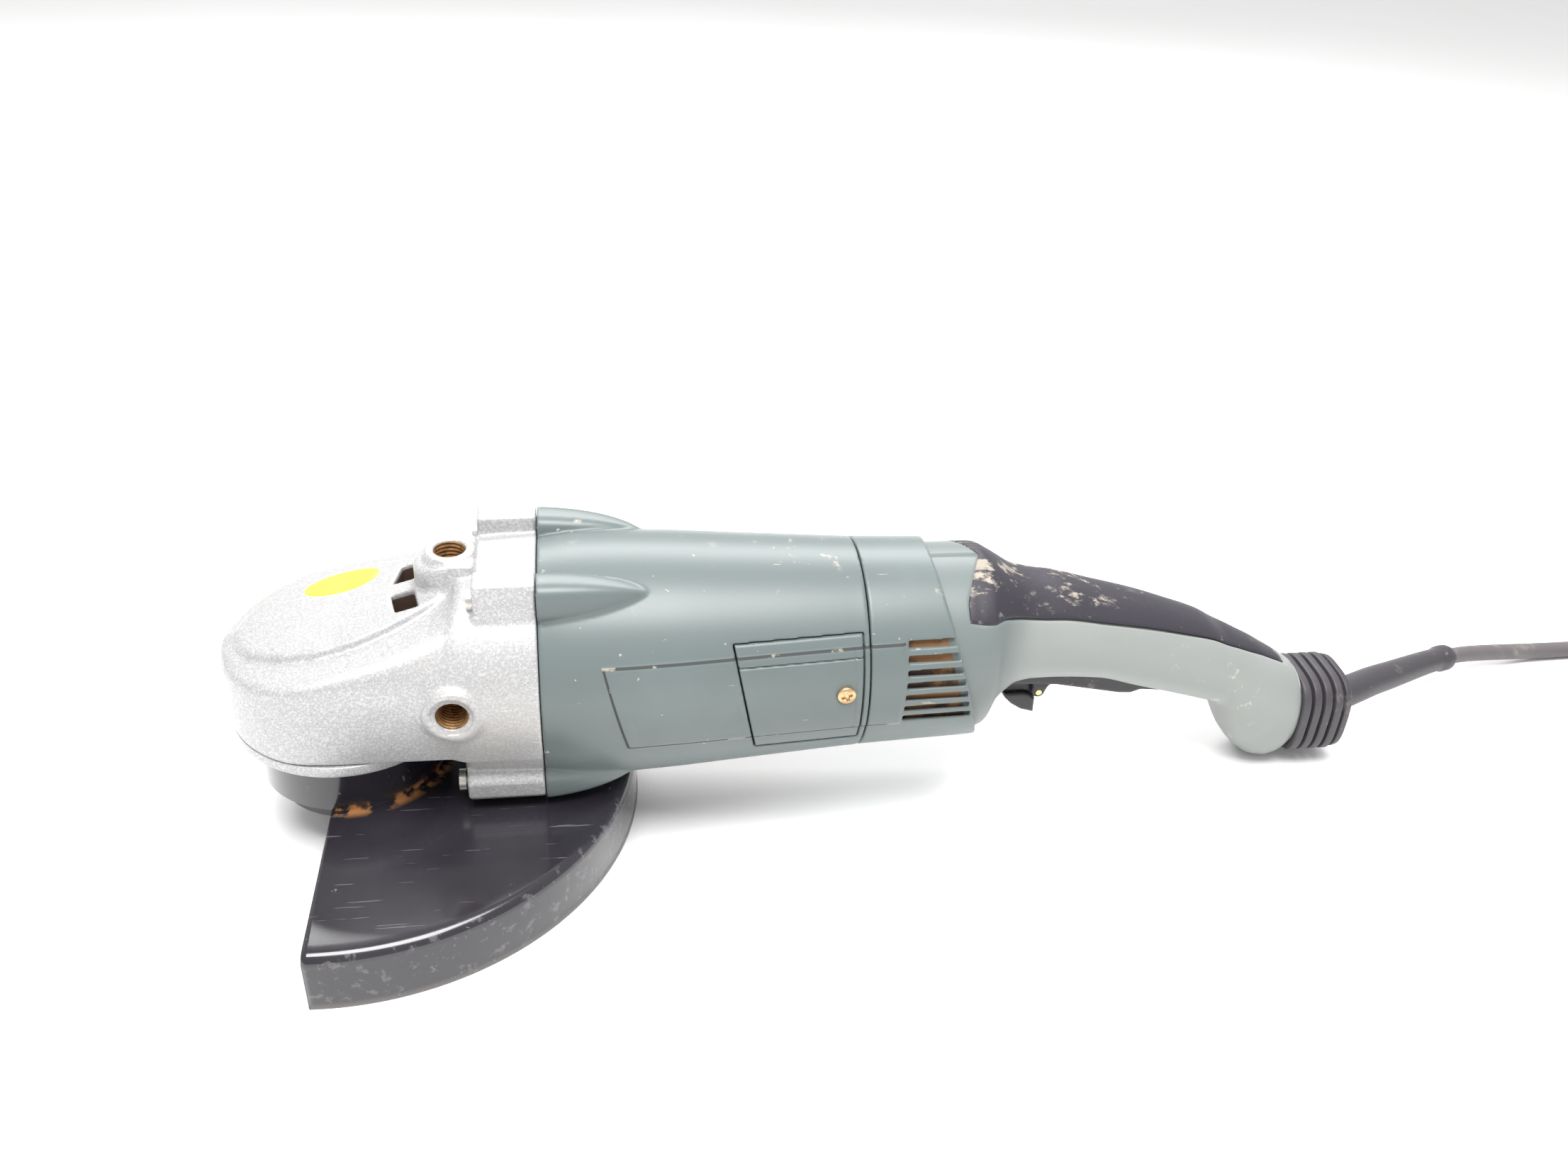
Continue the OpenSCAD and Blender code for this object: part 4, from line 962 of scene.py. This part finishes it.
def boot_mesh():
    """A boot of rounded-square section with four ribs."""
    profile = [(0.5, 461.3), (21.4, 461.3)]
    for i in range(4):
        x0 = 461.8 + 5.6 * i
        profile += [(22.9, x0), (22.9, x0 + 3.7), (19.9, x0 + 4.1), (19.9, x0 + 5.3)]
    profile += [(22.2, 484.4), (21.6, 487.6), (16, 489.2), (8.6, 489.4)]
    profile = rounded(profile, 0.6, 3)
    n = 72
    ang = 2 * math.pi * np.arange(n) / n
    p = (np.abs(np.cos(ang)) ** 3.2 + np.abs(np.sin(ang)) ** 3.2) ** (-1 / 3.2)
    verts = []
    for r, x in profile:
        across, up = 0.93 * r * p * np.cos(ang), 25 + 0.97 * r * p * np.sin(ang)
        verts.append(np.stack([np.full(n, x), across, up], 1))
    return np.concatenate(verts), band_faces(len(profile), n)


verts, faces = boot_mesh()
add("boot_ribbed", verts, faces, RUBBER, "grinder", ("cord_boot",))

SLEEVE = [(466, 0, 25), (478, 0, 25), (490, 1.5, 25.2), (504, 7, 25.2), (518, 14, 24), (532, 21, 21.8),
          (546, 28.5, 19.2), (560, 36, 16.6), (572, 42, 14.4), (584, 47.5, 12.2)]
LEAD_IN = [(584, 47.5, 12.2), (600, 53.5, 9), (620, 58.6, 5.4), (641, 61.6, 2.8), (664, 63, 1.6),
           (688, 63.4, 1.6), (714, 63.5, 2.0), (742, 63.5, 2.6)]
COIL_C = (742.0, 0.5)
sleeve_path = smooth_path(SLEEVE, 2.5)
share = np.linspace(0, 1, len(sleeve_path))
radii = np.interp(share, [0, 0.5, 0.93, 0.935, 0.985, 1.0], [8.6, 7.6, 6.3, 7.3, 7.3, 6.4])
verts, faces = tube(sleeve_path, radii, 20)
add("sleeve_tube", verts, faces, RUBBER, "grinder", ("cable_sleeve",))


def coil_points():
    """Two layers of three turns, clockwise from the entry at the top of the ring."""
    radii, level = [63, 54, 45], [2.6, 11.6]
    legs = [(0, 63), (0, 54), (0, 45), (1, 45), (1, 54), (1, 63)]
    out = []
    for i, (layer, r) in enumerate(legs):
        nxt = legs[i + 1] if i + 1 < len(legs) else (2, 63)
        for k in range(40):
            t = k / 40
            q = min(1, max(0, (t - 0.80) / 0.10))
            u = min(1, max(0, (t - 0.90) / 0.10))
            q, u = q * q * (3 - 2 * q), u * u * (3 - 2 * u)
            rr = r + (nxt[1] - r) * q
            z = level[layer] + 9 * (nxt[0] - layer) * u
            a = math.pi / 2 - 2 * math.pi * t
            out.append((COIL_C[0] + rr * math.cos(a), COIL_C[1] + rr * math.sin(a), z))
    z = 20.6
    for k in range(0, 6):
        a = math.pi / 2 - 2 * math.pi * k / 40
        out.append((COIL_C[0] + 63 * math.cos(a), COIL_C[1] + 63 * math.sin(a), z))
    return out


TAIL = [(793, 37, 20), (803, 19, 19.5), (806, 0.5, 18), (806, -22, 14), (806, -44, 8), (805, -66, 3.2),
        (802, -88, 1.2), (792, -108, 2), (776, -121, 5.5), (758, -125, 10.5), (740, -125, 14.5),
        (728, -125, 15)]
control = LEAD_IN[:-1] + coil_points() + TAIL
cord_path = smooth_path(control, 3.0)
length = float(np.sum(np.linalg.norm(np.diff(cord_path, axis=0), axis=1)))
verts, faces = tube(cord_path, CORD_R, 12)
cord = add("cord_tube", verts, faces, CORD, "grinder", ("cord", "cord_coil"))

# plug, with two round pins
PLUG_Y, PLUG_Z = -125, 15
profile = rounded([(4.6, 728), (7.2, 728), (8.5, 718), (11, 709), (17.6, 706), (18, 703), (18, 688.6),
                   (17.2, 688), (0.4, 688)], 1.2, 4)
verts, faces = lathe(profile, 64, (0, PLUG_Y, PLUG_Z), "x")
plug = add("plug_body", verts, faces, RUBBER, "grinder", ("plug",))
for side, name in ((-1, "plug_pin_a"), (1, "plug_pin_b")):
    profile = [(2.4, 690), (2.4, 671.2), (2.0, 669.9), (1.2, 669.2), (0.1, 669)]
    verts, faces = lathe(profile, 20, (0, PLUG_Y + 9.5 * side, PLUG_Z), "x")
    add(name, verts, faces, STEEL, "grinder", ())


def tie_mesh():
    """A flat band round the coil's bundle: four loops, one for each edge of the band's section."""
    half_w, half_h, corner, half_band = 15.0, 10.4, 3.0, 6
    loop = []
    for sx, sz, start in ((1, 1, 0), (-1, 1, 90), (-1, -1, 180), (1, -1, 270)):
        for a in np.radians(np.linspace(start, start + 90, 7)):
            loop.append((54 + sx * (half_w - corner) + corner * math.cos(a),
                         7.1 + sz * (half_h - corner) + corner * math.sin(a)))
    loop = np.array(loop)
    centre = loop.mean(0)
    turn = math.radians(-155)
    ca, sa = math.cos(turn), math.sin(turn)
    verts = []
    for w, grow in ((-half_band, 0), (half_band, 0), (half_band, -1.0), (-half_band, -1.0)):
        for point in loop:
            d = point - centre
            r, h = centre + d * (1 + grow / np.linalg.norm(d))
            verts.append((COIL_C[0] + r * ca - w * sa, COIL_C[1] + r * sa + w * ca, h))
    n = len(loop)
    faces = [(i * n + k, i * n + (k + 1) % n, ((i + 1) % 4) * n + (k + 1) % n, ((i + 1) % 4) * n + k)
             for i in range(4) for k in range(n)]
    return verts, faces


verts, faces = tie_mesh()
tie = add("coil_tie", verts, faces, BLACK, "grinder", ())


# ---------- stage, light, camera ----------

FLOOR_HALF = 6000
corners = [(sx * FLOOR_HALF, sy * FLOOR_HALF, FLOOR_Z) for sx, sy in ((-1, -1), (1, -1), (1, 1), (-1, 1))]
floor = mesh_object("floor", corners, [(0, 1, 2, 3)], floor_white())

world = bpy.data.worlds.new("studio")
bpy.context.scene.world = world
world.use_nodes = True
world.node_tree.nodes["Background"].inputs["Color"].default_value = (1.0, 1.0, 1.0, 1)
world.node_tree.nodes["Background"].inputs["Strength"].default_value = 0.62


def area(name, location, target, size, power):
    """A soft rectangular lamp turned towards a point."""
    lamp = bpy.data.lights.new(name, "AREA")
    lamp.shape, lamp.size, lamp.size_y = "RECTANGLE", size[0], size[1]
    lamp.energy = power
    ob = bpy.data.objects.new(name, lamp)
    bpy.context.scene.collection.objects.link(ob)
    ob.location = location
    ob.rotation_euler = (Vector(target) - Vector(location)).to_track_quat("-Z", "Y").to_euler()


area("key", (0.1, -0.35, 1.5), (0.2, 0, 0.05), (1.1, 0.8), 34)
area("back", (0.3, 1.1, 1.0), (0.2, 0, 0.08), (1.4, 0.5), 16)

cam = bpy.data.cameras.new("camera")
cam.sensor_width, cam.lens = 36.0, 32.55
cam.clip_start, cam.clip_end = 0.01, 30
camera = bpy.data.objects.new("camera", cam)
bpy.context.scene.collection.objects.link(camera)
right = np.array((0.990, -0.136, 0.043))
view = np.array((0.137, 0.828, -0.543))
view /= np.linalg.norm(view)
right -= view * (right @ view)
right /= np.linalg.norm(right)
up = np.cross(right, view)
camera.matrix_world = Matrix([[right[0], up[0], -view[0], 0.10988], [right[1], up[1], -view[1], -0.53872],
                              [right[2], up[2], -view[2], 0.45975], [0, 0, 0, 1]])
bpy.context.scene.camera = camera
bpy.context.scene.view_settings.view_transform = "Standard"
bpy.context.scene.view_settings.exposure = 0.25
